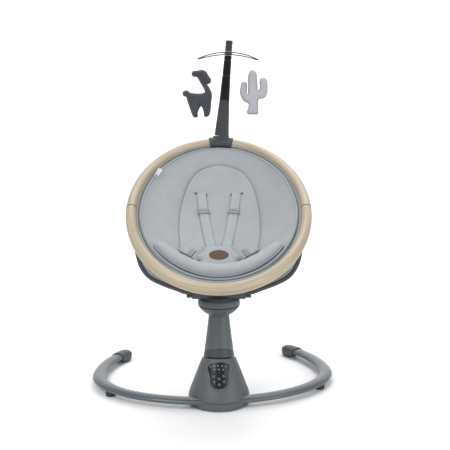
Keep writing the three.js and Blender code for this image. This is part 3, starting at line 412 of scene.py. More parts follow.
def read_vectors(source, key="co"):
    """The vectors of a mesh's vertices or of an attribute, as rows."""
    values = np.zeros(len(source) * 3)
    source.foreach_get(key, values)
    return values.reshape(-1, 3)


def remeshed(mesh, voxel):
    """The mesh filled with even faces of that size, in the mesh's own units."""
    blank = bpy.data.objects.new("blank", mesh)
    bpy.context.scene.collection.objects.link(blank)
    remesh = blank.modifiers.new("voxels", "REMESH")
    remesh.mode = "VOXEL"
    remesh.voxel_size = voxel
    graph = bpy.context.evaluated_depsgraph_get()
    made = bpy.data.meshes.new_from_object(blank.evaluated_get(graph))
    bpy.data.objects.remove(blank)
    return made


# ---------------------------------------------------------------- shader groups
def node(tree, kind, **values):
    """A new node; a value named in its inputs is set there, any other is a setting of the node."""
    made = tree.nodes.new(kind)
    for key, value in values.items():
        name = key.replace("_", " ")
        if hasattr(made, key):
            setattr(made, key, value)
        else:
            made.inputs[name].default_value = value
    return made


def group(name, inputs, outputs):
    """An empty shader group with named sockets, and its two end nodes."""
    tree = bpy.data.node_groups.new(name, "ShaderNodeTree")
    kinds = {"V": "NodeSocketVector", "C": "NodeSocketColor", "F": "NodeSocketFloat"}
    for label, kind in inputs:
        tree.interface.new_socket(name=label, in_out="INPUT", socket_type=kinds[kind])
    for label, kind in outputs:
        tree.interface.new_socket(name=label, in_out="OUTPUT", socket_type=kinds[kind])
    return tree, tree.nodes.new("NodeGroupInput"), tree.nodes.new("NodeGroupOutput")


def maths(tree, operation, first, second=None):
    """One sum on values; a number or a socket on each side."""
    made = node(tree, "ShaderNodeMath", operation=operation)
    for k, side in enumerate((first, second)):
        if side is None:
            continue
        if isinstance(side, (int, float)):
            made.inputs[k].default_value = side
        else:
            tree.links.new(side, made.inputs[k])
    return made.outputs[0]


def blend(tree, share, first, second, kind="MIX"):
    """Two colours mixed by a share; each is a socket or a colour."""
    made = node(tree, "ShaderNodeMix", data_type="RGBA", blend_type=kind)
    for k, side in ((0, share), (6, first), (7, second)):
        if isinstance(side, (int, float)):
            made.inputs[k].default_value = side
        elif isinstance(side, tuple):
            made.inputs[k].default_value = (*side, 1)
        else:
            tree.links.new(side, made.inputs[k])
    return made.outputs[2]


def noise(tree, vector, scale, detail=3.0, rough=0.5):
    """Smooth noise of that scale; scale is a number or a socket."""
    made = node(tree, "ShaderNodeTexNoise", Detail=detail, Roughness=rough)
    tree.links.new(vector, made.inputs["Vector"])
    if isinstance(scale, (int, float)):
        made.inputs["Scale"].default_value = scale
    else:
        tree.links.new(scale, made.inputs["Scale"])
    return made.outputs["Fac"]


def ranged(tree, value, low, high, to_low=0.0, to_high=1.0):
    """A value moved from one range to another, held at its ends."""
    made = node(tree, "ShaderNodeMapRange")
    tree.links.new(value, made.inputs[0])
    for k, number in enumerate((low, high, to_low, to_high)):
        made.inputs[k + 1].default_value = number
    return made.outputs[0]


def make_speckle():
    """Fine grain over slow drift: both are noise, and each moves the colour by its own share."""
    tree, start, end = group(
        "moulded_grain", [("Vector", "V"), ("Colour", "C"), ("Spread", "F"), ("Scale", "F")],
        [("Colour", "C"), ("Height", "F"), ("Drift", "F")])
    fine = noise(tree, start.outputs["Vector"], start.outputs["Scale"], 4.0)
    slow = noise(tree, start.outputs["Vector"], 14.0, 2.0)
    both = maths(tree, "ADD", maths(tree, "MULTIPLY", fine, 0.5), maths(tree, "MULTIPLY", slow, 0.5))
    share = maths(tree, "MULTIPLY", maths(tree, "SUBTRACT", both, 0.5), start.outputs["Spread"])
    gain = maths(tree, "ADD", share, 1.0)
    scaled = node(tree, "ShaderNodeVectorMath", operation="SCALE")
    tree.links.new(start.outputs["Colour"], scaled.inputs[0])
    tree.links.new(gain, scaled.inputs["Scale"])
    tree.links.new(scaled.outputs[0], end.inputs["Colour"])
    tree.links.new(fine, end.inputs["Height"])
    tree.links.new(slow, end.inputs["Drift"])
    return tree


def make_edge_wear():
    """Rub on outward edges: how sharply the surface turns, broken up by noise."""
    tree, start, end = group(
        "edge_rub", [("Vector", "V"), ("Colour", "C"), ("Rubbed", "C"), ("Amount", "F")],
        [("Colour", "C"), ("Mask", "F")])
    turning = node(tree, "ShaderNodeNewGeometry").outputs["Pointiness"]
    edge = ranged(tree, turning, 0.515, 0.6)
    broken = ranged(tree, noise(tree, start.outputs["Vector"], 90.0, 5.0), 0.4, 0.65)
    mask = maths(tree, "MULTIPLY", maths(tree, "MULTIPLY", edge, broken), start.outputs["Amount"])
    tree.links.new(blend(tree, mask, start.outputs["Colour"], start.outputs["Rubbed"]), end.inputs["Colour"])
    tree.links.new(mask, end.inputs["Mask"])
    return tree


def make_weave():
    """Plain weave: sine along times sine across gives thread over thread, with slow melange."""
    tree, start, end = group(
        "plain_weave", [("Vector", "V"), ("Colour", "C"), ("Dark", "C"), ("Threads", "F"), ("Melange", "F")],
        [("Colour", "C"), ("Height", "F")])
    parts = node(tree, "ShaderNodeSeparateXYZ")
    tree.links.new(start.outputs["Vector"], parts.inputs[0])
    turns = maths(tree, "MULTIPLY", start.outputs["Threads"], 2 * math.pi)
    waves = [maths(tree, "SINE", maths(tree, "MULTIPLY", parts.outputs[k], turns)) for k in (0, 1)]
    over = maths(tree, "MULTIPLY", waves[0], waves[1])
    height = maths(tree, "ADD", maths(tree, "MULTIPLY", over, 0.5), 0.5)
    fleck = noise(tree, start.outputs["Vector"], 420.0, 3.0, 0.7)
    cloud = noise(tree, start.outputs["Vector"], 26.0, 3.0)
    mixed = maths(tree, "ADD", ranged(tree, fleck, 0.35, 0.65), ranged(tree, cloud, 0.3, 0.7))
    share = maths(tree, "MULTIPLY", maths(tree, "ADD", mixed, maths(tree, "MULTIPLY", height, 0.5)),
                  start.outputs["Melange"])
    tree.links.new(blend(tree, share, start.outputs["Colour"], start.outputs["Dark"]), end.inputs["Colour"])
    tree.links.new(maths(tree, "ADD", height, maths(tree, "MULTIPLY", fleck, 0.6)), end.inputs["Height"])
    return tree


def make_wood():
    """Straight grain: noise drawn out along the first direction, with short dark pores over it."""
    tree, start, end = group(
        "beech_grain", [("Vector", "V"), ("Light", "C"), ("Dark", "C"), ("Pores", "F")],
        [("Colour", "C"), ("Height", "F"), ("Drift", "F")])

    def drawn_out(stretch):
        mapped = node(tree, "ShaderNodeMapping")
        mapped.inputs["Scale"].default_value = stretch
        tree.links.new(start.outputs["Vector"], mapped.inputs["Vector"])
        return mapped.outputs[0]

    bands = noise(tree, drawn_out((3, 60, 60)), 2.0, 5.0, 0.55)
    pores = noise(tree, drawn_out((40, 900, 900)), 1.0, 2.0)
    flakes = ranged(tree, pores, 0.6, 0.72)
    share = maths(tree, "ADD", ranged(tree, bands, 0.3, 0.7),
                  maths(tree, "MULTIPLY", flakes, start.outputs["Pores"]))
    tree.links.new(blend(tree, share, start.outputs["Light"], start.outputs["Dark"]), end.inputs["Colour"])
    tree.links.new(maths(tree, "SUBTRACT", bands, maths(tree, "MULTIPLY", flakes, 0.3)), end.inputs["Height"])
    tree.links.new(bands, end.inputs["Drift"])
    return tree


GRAIN = make_speckle()
RUB = make_edge_wear()
WEAVE = make_weave()
BEECH = make_wood()


# ---------------------------------------------------------------- materials
def colour(red, green, blue):
    """A colour as it is seen, 0 to 255, made linear for the shader."""
    seen = np.array([red, green, blue]) / 255
    linear = np.where(seen <= 0.04045, seen / 12.92, ((seen + 0.055) / 1.055) ** 2.4)
    return tuple(float(v) for v in linear)


def material(name, **plain):
    """A new material, its tree and its one shader; plain numbers go on the shader's own sockets."""
    made = bpy.data.materials.new(name)
    made.use_nodes = True
    tree = made.node_tree
    tree.nodes.clear()
    shader = node(tree, "ShaderNodeBsdfPrincipled")
    result = node(tree, "ShaderNodeOutputMaterial")
    tree.links.new(shader.outputs[0], result.inputs["Surface"])
    for key, value in plain.items():
        shader.inputs[key.replace("_", " ")].default_value = value
    return made, tree, shader


def placed(tree, group_tree, vector, **values):
    """A group in a material, with its own values."""
    made = node(tree, "ShaderNodeGroup", node_tree=group_tree)
    tree.links.new(vector, made.inputs["Vector"])
    for key, value in values.items():
        if isinstance(value, bpy.types.NodeSocket):
            tree.links.new(value, made.inputs[key])
        else:
            made.inputs[key].default_value = (*value, 1) if isinstance(value, tuple) else value
    return made


def where(tree, guided):
    """The pattern's place: the piece's own guide, or the object's frame."""
    if guided:
        return node(tree, "ShaderNodeAttribute", attribute_name="guide").outputs["Vector"]
    return node(tree, "ShaderNodeTexCoord").outputs["Object"]


def raise_by(tree, shader, height, strength, distance):
    """A bump from a height, on the shader's normal."""
    bump = node(tree, "ShaderNodeBump", Strength=strength, Distance=distance)
    tree.links.new(height, bump.inputs["Height"])
    tree.links.new(bump.outputs[0], shader.inputs["Normal"])


def moulded(name, body, rubbed, rough, grain=700.0, depth=0.0001, spread=0.12, guided=False, **plain):
    """Moulded or painted finish: grained colour, rubbed edges, roughness that drifts a little."""
    made, tree, shader = material(name, **plain)
    vector = where(tree, guided)
    grained = placed(tree, GRAIN, vector, Colour=body, Spread=spread, Scale=grain)
    worn = placed(tree, RUB, vector, Colour=grained.outputs["Colour"], Rubbed=rubbed, Amount=0.5)
    tree.links.new(worn.outputs["Colour"], shader.inputs["Base Color"])
    drift = ranged(tree, grained.outputs["Drift"], 0.3, 0.7, rough - 0.05, rough + 0.06)
    tree.links.new(drift, shader.inputs["Roughness"])
    raise_by(tree, shader, grained.outputs["Height"], 0.35, depth)
    return made


def cloth(name, light, dark, threads, depth, melange=0.25, **plain):
    """Woven or knitted cloth on the piece's guide, with a soft sheen."""
    made, tree, shader = material(name, Roughness=0.92, Sheen_Weight=0.25, Sheen_Roughness=0.5, **plain)
    woven = placed(tree, WEAVE, where(tree, True), Colour=light, Dark=dark, Threads=threads, Melange=melange)
    tree.links.new(woven.outputs["Colour"], shader.inputs["Base Color"])
    raise_by(tree, shader, woven.outputs["Height"], 0.5, depth)
    return made


TUBE_PAINT = moulded("tube_paint", colour(84, 91, 95), colour(128, 134, 138), 0.34,
                     grain=1500.0, depth=0.00005, spread=0.08, Metallic=0.35, Coat_Weight=0.25)
GREY_SHELL = moulded("grey_shell", colour(80, 86, 89), colour(108, 114, 117), 0.42)
DARK_PLASTIC = moulded("dark_plastic", colour(58, 63, 66), colour(88, 93, 96), 0.4)
MID_PLASTIC = moulded("mid_plastic", colour(128, 134, 138), colour(165, 170, 173), 0.34)
GLOSS_BLACK = moulded("gloss_black", colour(22, 24, 27), colour(58, 60, 64), 0.2, grain=300.0,
                      depth=0.00001, Specular_IOR_Level=0.3)
SATIN_BLACK = moulded("satin_black", colour(50, 54, 58), colour(90, 93, 96), 0.28, depth=0.00004)
FOOT_RUBBER = moulded("foot_rubber", colour(52, 56, 59), colour(80, 82, 84), 0.8, grain=900.0, depth=0.0002)
DRIVE_STEEL = moulded("drive_steel", colour(185, 188, 191), colour(225, 226, 228), 0.3, Metallic=1.0)
BUSH_BRASS = moulded("bush_brass", colour(185, 154, 91), colour(220, 195, 140), 0.35, Metallic=1.0)
CIRCUIT = moulded("circuit", colour(31, 91, 58), colour(90, 130, 100), 0.5)
PRINT = moulded("panel_print", colour(146, 150, 154), colour(160, 162, 165), 0.5, spread=0.06)
# Near-black finish for the strap slot and leg gap patches: painted shade standing in for the shadow inside
# those openings.
SLOT_SHADE_PAINT = moulded("painted_slot_shade", colour(20, 21, 23), colour(30, 31, 33), 0.8)
KNIT = cloth("knit_grey", colour(168, 172, 175), colour(138, 143, 146), 900.0, 0.0002)
KNIT_EDGE = cloth("knit_piping", colour(157, 162, 166), colour(126, 132, 136), 1200.0, 0.0002)
# Seam cord darker than the knit: painted shade for the creases along the egg seam and round the slot welts.
PAINTED_SHADE_SEAM = cloth("seam_cord_shade", colour(132, 139, 144), colour(104, 111, 116), 1200.0, 0.0002)
WEB = cloth("strap_web", colour(172, 176, 179), colour(138, 143, 147), 620.0, 0.0004)
TAG = cloth("tag_cloth", colour(214, 217, 218), colour(195, 199, 201), 1500.0, 0.0001)
FELT = cloth("toy_felt", colour(70, 72, 80), colour(44, 46, 54), 1400.0, 0.0004, melange=0.45)
SATIN = cloth("toy_satin", colour(176, 174, 181), colour(146, 144, 151), 1500.0, 0.0002)
TOY_PIPING = cloth("toy_piping", colour(112, 112, 122), colour(85, 85, 95), 1500.0, 0.0002)
THREAD = cloth("string_thread", colour(225, 223, 218), colour(190, 188, 184), 1100.0, 0.0003)


def make_beech():
    """Pale satin beech: grain along the ring, edges a little lighter."""
    made, tree, shader = material("beech", Coat_Weight=0.15, Coat_Roughness=0.3)
    vector = where(tree, True)
    grain = placed(tree, BEECH, vector, Light=colour(182, 169, 149), Dark=colour(156, 142, 119), Pores=0.35)
    worn = placed(tree, RUB, vector, Colour=grain.outputs["Colour"], Rubbed=colour(200, 185, 162), Amount=0.4)
    tree.links.new(worn.outputs["Colour"], shader.inputs["Base Color"])
    tree.links.new(ranged(tree, grain.outputs["Drift"], 0.3, 0.7, 0.36, 0.5), shader.inputs["Roughness"])
    raise_by(tree, shader, grain.outputs["Height"], 0.25, 0.0002)
    return made


def make_leather():
    """Leather: small cells pressed into the surface, darker between them and round the edge."""
    made, tree, shader = material("patch_leather")
    vector = where(tree, True)
    cells = node(tree, "ShaderNodeTexVoronoi", Scale=900.0)
    tree.links.new(vector, cells.inputs["Vector"])
    depth = ranged(tree, cells.outputs["Distance"], 0.0, 0.7)
    grained = placed(tree, GRAIN, vector, Colour=colour(96, 68, 47), Spread=0.3, Scale=260.0)
    lines = blend(tree, ranged(tree, depth, 0.5, 1.0), grained.outputs["Colour"], colour(68, 46, 31))
    rim = node(tree, "ShaderNodeAttribute", attribute_name="tone").outputs["Fac"]
    pressed = blend(tree, maths(tree, "MULTIPLY", rim, 0.6), lines, colour(74, 50, 36))
    tree.links.new(pressed, shader.inputs["Base Color"])
    tree.links.new(ranged(tree, grained.outputs["Drift"], 0.3, 0.7, 0.55, 0.7), shader.inputs["Roughness"])
    raise_by(tree, shader, maths(tree, "SUBTRACT", 1.0, depth), 0.5, 0.0002)
    return made


def make_key():
    """Key cap: black, with a pale ring printed where the tone says."""
    made, tree, shader = material("key_cap", Coat_Weight=0.3)
    vector = where(tree, True)
    grained = placed(tree, GRAIN, vector, Colour=colour(26, 28, 31), Spread=0.2, Scale=500.0)
    tone = node(tree, "ShaderNodeAttribute", attribute_name="tone").outputs["Fac"]
    off_ring = maths(tree, "ABSOLUTE", maths(tree, "SUBTRACT", tone, 0.6))
    ring = ranged(tree, off_ring, 0.09, 0.13, 1.0, 0.0)
    dot = ranged(tree, tone, 0.2, 0.26, 1.0, 0.0)
    mask = maths(tree, "MAXIMUM", ring, dot)
    printed = blend(tree, mask, grained.outputs["Colour"], colour(112, 116, 121))
    tree.links.new(printed, shader.inputs["Base Color"])
    tree.links.new(ranged(tree, grained.outputs["Drift"], 0.3, 0.7, 0.2, 0.3), shader.inputs["Roughness"])
    raise_by(tree, shader, mask, 0.3, 0.0001)
    return made


BEECH_WOOD = make_beech()
LEATHER = make_leather()
KEY_CAP = make_key()

# ---------------------------------------------------------------- camera, floor and light
CAMERA_DISTANCE = 2120
CAMERA_SIDE = 31.1
CAMERA_HEIGHT = 753
CAMERA_TURN = -0.4
CAMERA_TILT = 8.7
LENS = 68.48

facing = math.radians(CAMERA_TURN)
camera = bpy.data.objects.new("camera", bpy.data.cameras.new("camera"))
bpy.context.scene.collection.objects.link(camera)
camera.data.lens = LENS
camera.data.sensor_width = 36
camera.location = (
    (CAMERA_DISTANCE * math.sin(facing) + CAMERA_SIDE * math.cos(facing)) * MM,
    (-CAMERA_DISTANCE * math.cos(facing) + CAMERA_SIDE * math.sin(facing)) * MM,
    CAMERA_HEIGHT * MM)
camera.rotation_euler = (math.radians(90 - CAMERA_TILT), 0, facing)
bpy.context.scene.camera = camera
bpy.context.scene.view_settings.view_transform = "Standard"


FLOOR_REACH = 6000
WALL_BEND = 1200
WALL_Y = 4700
WALL_HEIGHT = 5000


def make_floor():
    """Pale floor that rises behind the swing on a quarter circle into a wall."""
    bend = np.linspace(0, np.pi / 2, 12)
    rising = np.stack([
        WALL_Y - WALL_BEND + WALL_BEND * np.sin(bend), WALL_BEND - WALL_BEND * np.cos(bend)], -1)
    profile = np.vstack([[[-FLOOR_REACH, 0]], rising, [[WALL_Y, WALL_HEIGHT]]])
    across = np.linspace(-FLOOR_REACH, FLOOR_REACH, 9)
    points = np.stack([
        np.broadcast_to(across[None], (len(profile), 9)),
        np.broadcast_to(profile[:, :1], (len(profile), 9)),
        np.broadcast_to(profile[:, 1:], (len(profile), 9))], -1).reshape(-1, 3) * MM
    i, j = np.meshgrid(np.arange(len(profile) - 1), np.arange(8), indexing="ij")
    a = (i * 9 + j).ravel()
    faces = np.stack([a, a + 1, a + 10, a + 9], -1)
    mesh = bpy.data.meshes.new("floor")
    mesh.from_pydata(points.tolist(), [], faces.tolist())
    mesh.shade_smooth()
    floor = bpy.data.objects.new("floor", mesh)
    bpy.context.scene.collection.objects.link(floor)
    pale, tree, shader = material("pale_floor")
    grained = placed(tree, GRAIN, where(tree, False), Colour=colour(252, 252, 253), Spread=0.01, Scale=30.0)
    tree.links.new(grained.outputs["Colour"], shader.inputs["Base Color"])
    shader.inputs["Roughness"].default_value = 0.7
    mesh.materials.append(pale)


def add_lamp(name, place, aim, size, power):
    """A soft square lamp in metres, aimed at a point."""
    lamp = bpy.data.objects.new(name, bpy.data.lights.new(name, "AREA"))
    lamp.data.size = size
    lamp.data.energy = power
    lamp.location = place
    direction = np.array(aim) - np.array(place)
    level = math.hypot(direction[0], direction[1])
    tilt = math.pi / 2 + math.atan2(direction[2], level)
    heading = math.atan2(direction[1], direction[0]) - math.pi / 2
    lamp.rotation_euler = (tilt, 0, heading)
    bpy.context.scene.collection.objects.link(lamp)


make_floor()
add_lamp("key_lamp", (-1.5, -2.2, 2.6), (0, 0, 0.45), 1.6, 46)
add_lamp("fill_lamp", (2.2, -1.8, 1.4), (0, 0, 0.45), 1.8, 22)
add_lamp("top_lamp", (0.2, 0.9, 2.8), (0, 0, 0.4), 1.8, 30)
add_lamp("wall_lamp", (0, 1.9, 2.6), (0, 4.7, 1.9), 3.5, 70)
world = bpy.data.worlds.new("studio")
world.use_nodes = True
world.node_tree.nodes["Background"].inputs["Color"].default_value = (1, 1, 1, 1)
world.node_tree.nodes["Background"].inputs["Strength"].default_value = 0.68
bpy.context.scene.world = world


# ---------------------------------------------------------------- floor tube
def floor_line(count):
    """Quarter ellipse from the front to the widest point, then an arc of one radius behind it."""
    share = np.linspace(0, 1, 800)
    t = share / BASE_FRONT_SHARE * np.pi / 2
    b = (share - BASE_FRONT_SHARE) / (1 - BASE_FRONT_SHARE) * math.radians(BASE_BACK_ANGLE)
    front = share < BASE_FRONT_SHARE
    x = np.where(front, BASE_HALF_WIDTH * np.sin(t), BASE_HALF_WIDTH - BASE_BACK_RADIUS * (1 - np.cos(b)))
    y = np.where(front, BASE_WIDEST + (BASE_FRONT - BASE_WIDEST) * np.cos(t),
                 BASE_WIDEST + BASE_BACK_RADIUS * np.sin(b))
    return evenly(np.stack([x, y, np.full_like(x, TUBE_Z)], -1), count)


floor_path = floor_line(700)
floor_length = np.linalg.norm(np.diff(floor_path, axis=0), axis=1).sum()


def floor_stretch(start, end, count):
    """The part of the floor line between two distances along it."""
    at = np.linspace(start, end, count) / floor_length * (len(floor_path) - 1)
    return np.stack([np.interp(at, np.arange(len(floor_path)), floor_path[:, k]) for k in range(3)], -1)


def tube_surface():
    """Oval section carried along the floor line, from inside the pedestal to inside the shoe."""
    path = floor_stretch(TUBE_START, floor_length - CAP_LENGTH + CAP_OVERLAP, 150)
    return carried(path, oval(TUBE_WIDTH, TUBE_HEIGHT, 44))


def cap_surface():
    """Shoe over the tube's end: size falls as root of 1 − past^2.4 beyond half way.

    Its top is the tube's oval and a wall; its underside comes down to the floor towards the tip.
    """
    share = np.concatenate([
        [0, 0.004, 0.014], np.linspace(0.03, 0.5, 16), 1 - 0.5 * np.linspace(1, 0, 34)[1:] ** 1.6])
    path = floor_stretch(floor_length - CAP_LENGTH, floor_length, 200)
    path = np.stack([np.interp(share * 199, np.arange(200), path[:, k]) for k in range(3)], -1)
    past = np.clip((share - 0.5) / 0.5, 0, 0.995)
    size = np.sqrt(1 - past**2.4)
    lip = np.interp(share, [0, 0.004, 0.014, 1], [0.9, 0.97, 1, 1])
    ring = oval(1, 1, 48) * 2
    under = TUBE_Z * (0.6 + 0.4 * smooth_step(share / 0.42)) * np.minimum(1, size * 1.4) * lip
    top = (TUBE_HEIGHT / 2 + CAP_WALL) * size * lip
    half = (TUBE_WIDTH / 2 + CAP_WALL) * size * lip
    x = ring[None, :, 0] * half[:, None]
    upper = ring[None, :, 1] * top[:, None]
    flat = np.maximum(ring[None, :, 1] * 1.25, -1) * under[:, None]
    section = np.stack([x, np.where(ring[None, :, 1] > 0, upper, flat)], -1)
    return carried(path, section)


def foot_surface():
    """Turned peg with an eased rim, up into the tube."""
    profile = soften([(0.3, 0), (FOOT_RADIUS - 1.6, 0), (FOOT_RADIUS, 1.8), (FOOT_RADIUS - 0.6, TUBE_Z - 2),
                      (0.3, TUBE_Z - 2)], 1.6)
    foot_y = BASE_WIDEST + (BASE_FRONT - BASE_WIDEST) * math.sqrt(1 - (FOOT_X / BASE_HALF_WIDTH) ** 2)
    return spun(profile, 56) + np.array([FOOT_X, foot_y, 0])


def pair(name, make, place, finish, body, slot, nodes, crease=35):
    """The same piece on the right and, mirrored, on the left."""
    for side, flip in (("right", 1), ("left", -1)):
        mould = Mould(place)
        for item in make():
            rows, guide = item if isinstance(item, tuple) else (item, item)
            mould.skin(rows * np.array([flip, 1, 1]), guide)
        mould.cast(f"{name}_{side}", finish, body, slot, [f"{n}_{side}" for n in nodes], crease)


pair("floor_tube", lambda: [tube_surface()], FLOOR, TUBE_PAINT, "base", "tube_paint", ["base_tube"])
pair("tube_shoe", lambda: [cap_surface()], FLOOR, DARK_PLASTIC, "base", "dark_plastic", ["end_cap"])
pair("tube_peg", lambda: [foot_surface()], FLOOR, FOOT_RUBBER, "base", "foot_rubber", ["peg_foot"])

# ---------------------------------------------------------------- pedestal
CONE_LEVELS = (0, PAN_HEIGHT, 30, 96, 126)
CONE_RADII = (PEDESTAL_RADIUS - 1, PEDESTAL_RADIUS, PEDESTAL_RADIUS - 2.2, 48, 35)
SLOPE_FROM, SLOPE_TO = 36, 96
slope_radii = np.interp((SLOPE_FROM, SLOPE_TO), CONE_LEVELS, CONE_RADII)
FRONT_SLOPE = math.atan((slope_radii[0] - slope_radii[1]) / (SLOPE_TO - SLOPE_FROM) + PEDESTAL_SHEAR)


def cone_radius(z):
    """Radius at a height: straight lines between levels, averaged over 4 mm either way."""
    return sum(np.interp(z + k, CONE_LEVELS, CONE_RADII) for k in (-4, -2, 0, 2, 4)) / 5


panel_radius = float(np.interp(PANEL_Z, CONE_LEVELS, CONE_RADII))
panel_middle = np.array([0, PEDESTAL_Y + PEDESTAL_SHEAR * PANEL_Z - panel_radius, PANEL_Z])
lying_back = turn("x", 90 - math.degrees(FRONT_SLOPE))
out_of_front = lying_back @ np.array([0, 0, 1.0])


def on_cone(flat, lift):
    """Places drawn on the front's plane, moved square to it until they lie on the cone, and lifted."""
    flat = np.asarray(flat, float)
    base = panel_middle + np.concatenate([flat, np.zeros(flat.shape[:-1] + (1,))], -1) @ lying_back.T
    out = np.zeros(flat.shape[:-1])
    for _ in range(12):
        p = base + out[..., None] * out_of_front
        from_axis = np.hypot(p[..., 0], p[..., 1] - PEDESTAL_Y - PEDESTAL_SHEAR * p[..., 2])
        away = from_axis - cone_radius(p[..., 2])
        out = out - 0.95 * away
    return base + (out + lift)[..., None] * out_of_front


PANEL_OUTLINE = curve([
    (-27, 17), (-25, 22.5), (-17, 26.5), (0, 29.5), (15, 28.5), (23, 26), (25, 20), (24, 2), (22, -18),
    (15, -29), (0, -33.5), (-13, -30), (-20, -20), (-21, -6), (-25, 7)], 120, closed=True)
BIB_LINE = curve([
    (-64, 60), (-64, 33), (-46, 27), (-35, 17), (-30, 2), (-26, -18), (-17, -33), (0, -38.5),
    (17, -34), (27, -18), (31, 2), (35, 17), (46, 27), (64, 33), (64, 60)], 110)


def sway_plane_height(x, y, lift):
    """Height of a plane square to the sway axis, over a point of the floor."""
    lean = math.radians(LEAN)
    return SWAY_Z + (lift - math.sin(lean) * (y - SWAY_Y)) / math.cos(lean)


def pedestal_surface():
    """Leaning cone up to the sway plane, with a groove along the bib and a sunk bed for the panel."""
    share = np.linspace(-1, 1, 560, endpoint=False)
    angle = -np.pi / 2 + np.pi * np.sign(share) * np.abs(share) ** 1.3
    top = np.full_like(angle, 110.0)
    for _ in range(20):
        r = cone_radius(top)
        y = PEDESTAL_Y + PEDESTAL_SHEAR * top + r * np.sin(angle)
        top = sway_plane_height(r * np.cos(angle), y, -SWAY_GAP / 2)
    rise = np.concatenate([[0, 0.002, 0.006], np.linspace(0.012, 0.985, 104), [0.992, 0.997, 1, 1, 1]])
    inset = np.concatenate([[1.4, 0.5, 0.1], np.zeros(104), [0.15, 0.5, 1.1, 3, 8]])
    z = PAN_HEIGHT + rise[:, None] * (top - PAN_HEIGHT)[None]
    r = cone_radius(z) - inset[:, None]
    points = np.stack([r * np.cos(angle), PEDESTAL_Y + PEDESTAL_SHEAR * z + r * np.sin(angle), z], -1)
    front = (np.sin(angle)[None] < -0.15) & (z > 30)
    flat = ((points - panel_middle) @ lying_back)[..., :2]
    sunk = np.zeros(z.shape)
    groove = distance_to(flat[front], BIB_LINE, closed=False)
    bed = distance_to(flat[front], PANEL_OUTLINE)
    bed = np.where(within(flat[front], PANEL_OUTLINE), bed, -bed)
    sunk[front] = 1.3 * np.exp(-(groove / 0.8) ** 2) + 1.6 * smooth_step((bed + 0.7) / 0.7)
    inward = np.stack([-np.cos(angle), -np.sin(angle), np.zeros_like(angle)], -1)
    return points + sunk[..., None] * inward[None]


Mould(PART).skin(pedestal_surface()).cast(
    "pedestal_shell", GREY_SHELL, "base", "grey_shell", ["pedestal_cone", "panel_bib"], 50)
pan_profile = soften([(0.5, 1), (PEDESTAL_RADIUS - 4, 1), (PEDESTAL_RADIUS - 1, 3.6),
                      (PEDESTAL_RADIUS, PAN_HEIGHT - GAP), (PEDESTAL_RADIUS - 3, PAN_HEIGHT - GAP),
                      (0.5, PAN_HEIGHT - GAP - 1)], 1.2)
Mould(PEDESTAL).skin(spun(pan_profile, 128)).cast(
    "pedestal_pan", GREY_SHELL, "base", "grey_shell", ["base_pan"])


def lens_surface():
    """Panel glass: its outline shrunk to its middle by shares, rounded over at the rim and let in."""
    share = np.concatenate([np.linspace(0.01, 0.95, 26), [0.975, 0.99, 1, 1]])
    rounded = [LENS_PROUD - 0.08, LENS_PROUD - 0.3, LENS_PROUD - 0.8, -2]
    lift = np.concatenate([np.full(26, LENS_PROUD), rounded])
    centre = PANEL_OUTLINE.mean(0)
    flat = centre + share[:, None, None] * (PANEL_OUTLINE - centre)[None]
    return on_cone(flat, lift[:, None])


Mould(PART).skin(lens_surface()).cast("panel_glass", GLOSS_BLACK, "base", "gloss_black", ["panel_lens"])


def flush_mark(x, y, wide, tall, power=2.0):
    """Small print-like mark: a flat oval or bar just proud of the glass."""
    ring = oval(wide, tall, 20, power)
    share = np.array([0.05, 0.9, 1.0, 1.0])
    lift = LENS_PROUD + np.array([0.1, 0.1, 0.04, -0.2])
    return on_cone(np.array([x, y]) + share[:, None, None] * ring[None], lift[:, None])


marks = Mould(PART)
for k in range(5):
    marks.skin(flush_mark(-20.5 + 9.3 * k, 20.5 + 1.5 * math.sin(k * math.pi / 4), 2.6, 3.6))
for x in (-10.5, 0, 10.5):
    marks.skin(flush_mark(x, 12, 5, 1, 4))
    marks.skin(flush_mark(x, 14, 2.2, 1.6))
marks.skin(flush_mark(0, 5.2, 34, 0.5, 6))
marks.cast("panel_marks", PRINT, "base", "gloss_black")

for number, (x, y) in enumerate(KEY_PLACES, start=1):
    profile = soften([(0.2, 1.0), (2.4, 0.95), (3.5, 0.75), (3.9, 0.1), (3.9, -2.5), (0.2, -2.5)], 0.6, 4)
    cap = spun(profile, 40)
    tone = np.broadcast_to((profile[:, :1] / 3.9), cap.shape[:2])
    seat_of_key = on_cone(np.array([x, y]), np.array(LENS_PROUD - 0.2))
    Mould(PART).skin(seat_of_key + cap @ lying_back.T, cap, tone).cast(
        f"panel_key_{number}", KEY_CAP, f"key_{number}", "gloss_black", [f"key_{number}"])

inlet_y = PEDESTAL_Y + PEDESTAL_SHEAR * INLET_Z + float(np.interp(INLET_Z, CONE_LEVELS, CONE_RADII))


def lying_round(profile, centre, count=40):
    """A turned shape laid along y: profile of radius and distance from its centre."""
    rows = spun(np.asarray(profile, float), count)
    return np.stack([rows[..., 0], rows[..., 2], -rows[..., 1]], -1) + np.asarray(centre)


inlet = Mould(PART)
sleeve_profile = soften([(0.2, -1), (5.5, -1), (5.5, 3), (3.2, 3), (3.0, 1.2), (0.2, 1.2)], 0.5, 4)
inlet.skin(lying_round(sleeve_profile, (0, inlet_y, INLET_Z)))
inlet.skin(lying_round([(0.1, 1), (0.9, 1), (0.9, 2.4), (0.1, 2.5)], (0, inlet_y, INLET_Z), 16))
inlet.cast("power_socket", GLOSS_BLACK, "base", "gloss_black", ["power_inlet"])


# ---------------------------------------------------------------- stalk and hub
def stalk_radius(height):
    """Falls from foot to top as the height's share to the power 0.85."""
    share = np.clip(height / STALK_LENGTH, 0, 1.2)
    return STALK_FOOT_RADIUS + (STALK_TOP_RADIUS - STALK_FOOT_RADIUS) * share**0.85


def arch_height(angle):
    """Top of the cuff: a circle seen from the front, over the stalk's own width."""
    height = np.full_like(angle, 18.0)
    for _ in range(6):
        x = stalk_radius(height) * np.cos(angle)
        height = CUFF_HEIGHT - CUFF_ARCH + np.sqrt(CUFF_ARCH**2 - x**2)
    return height


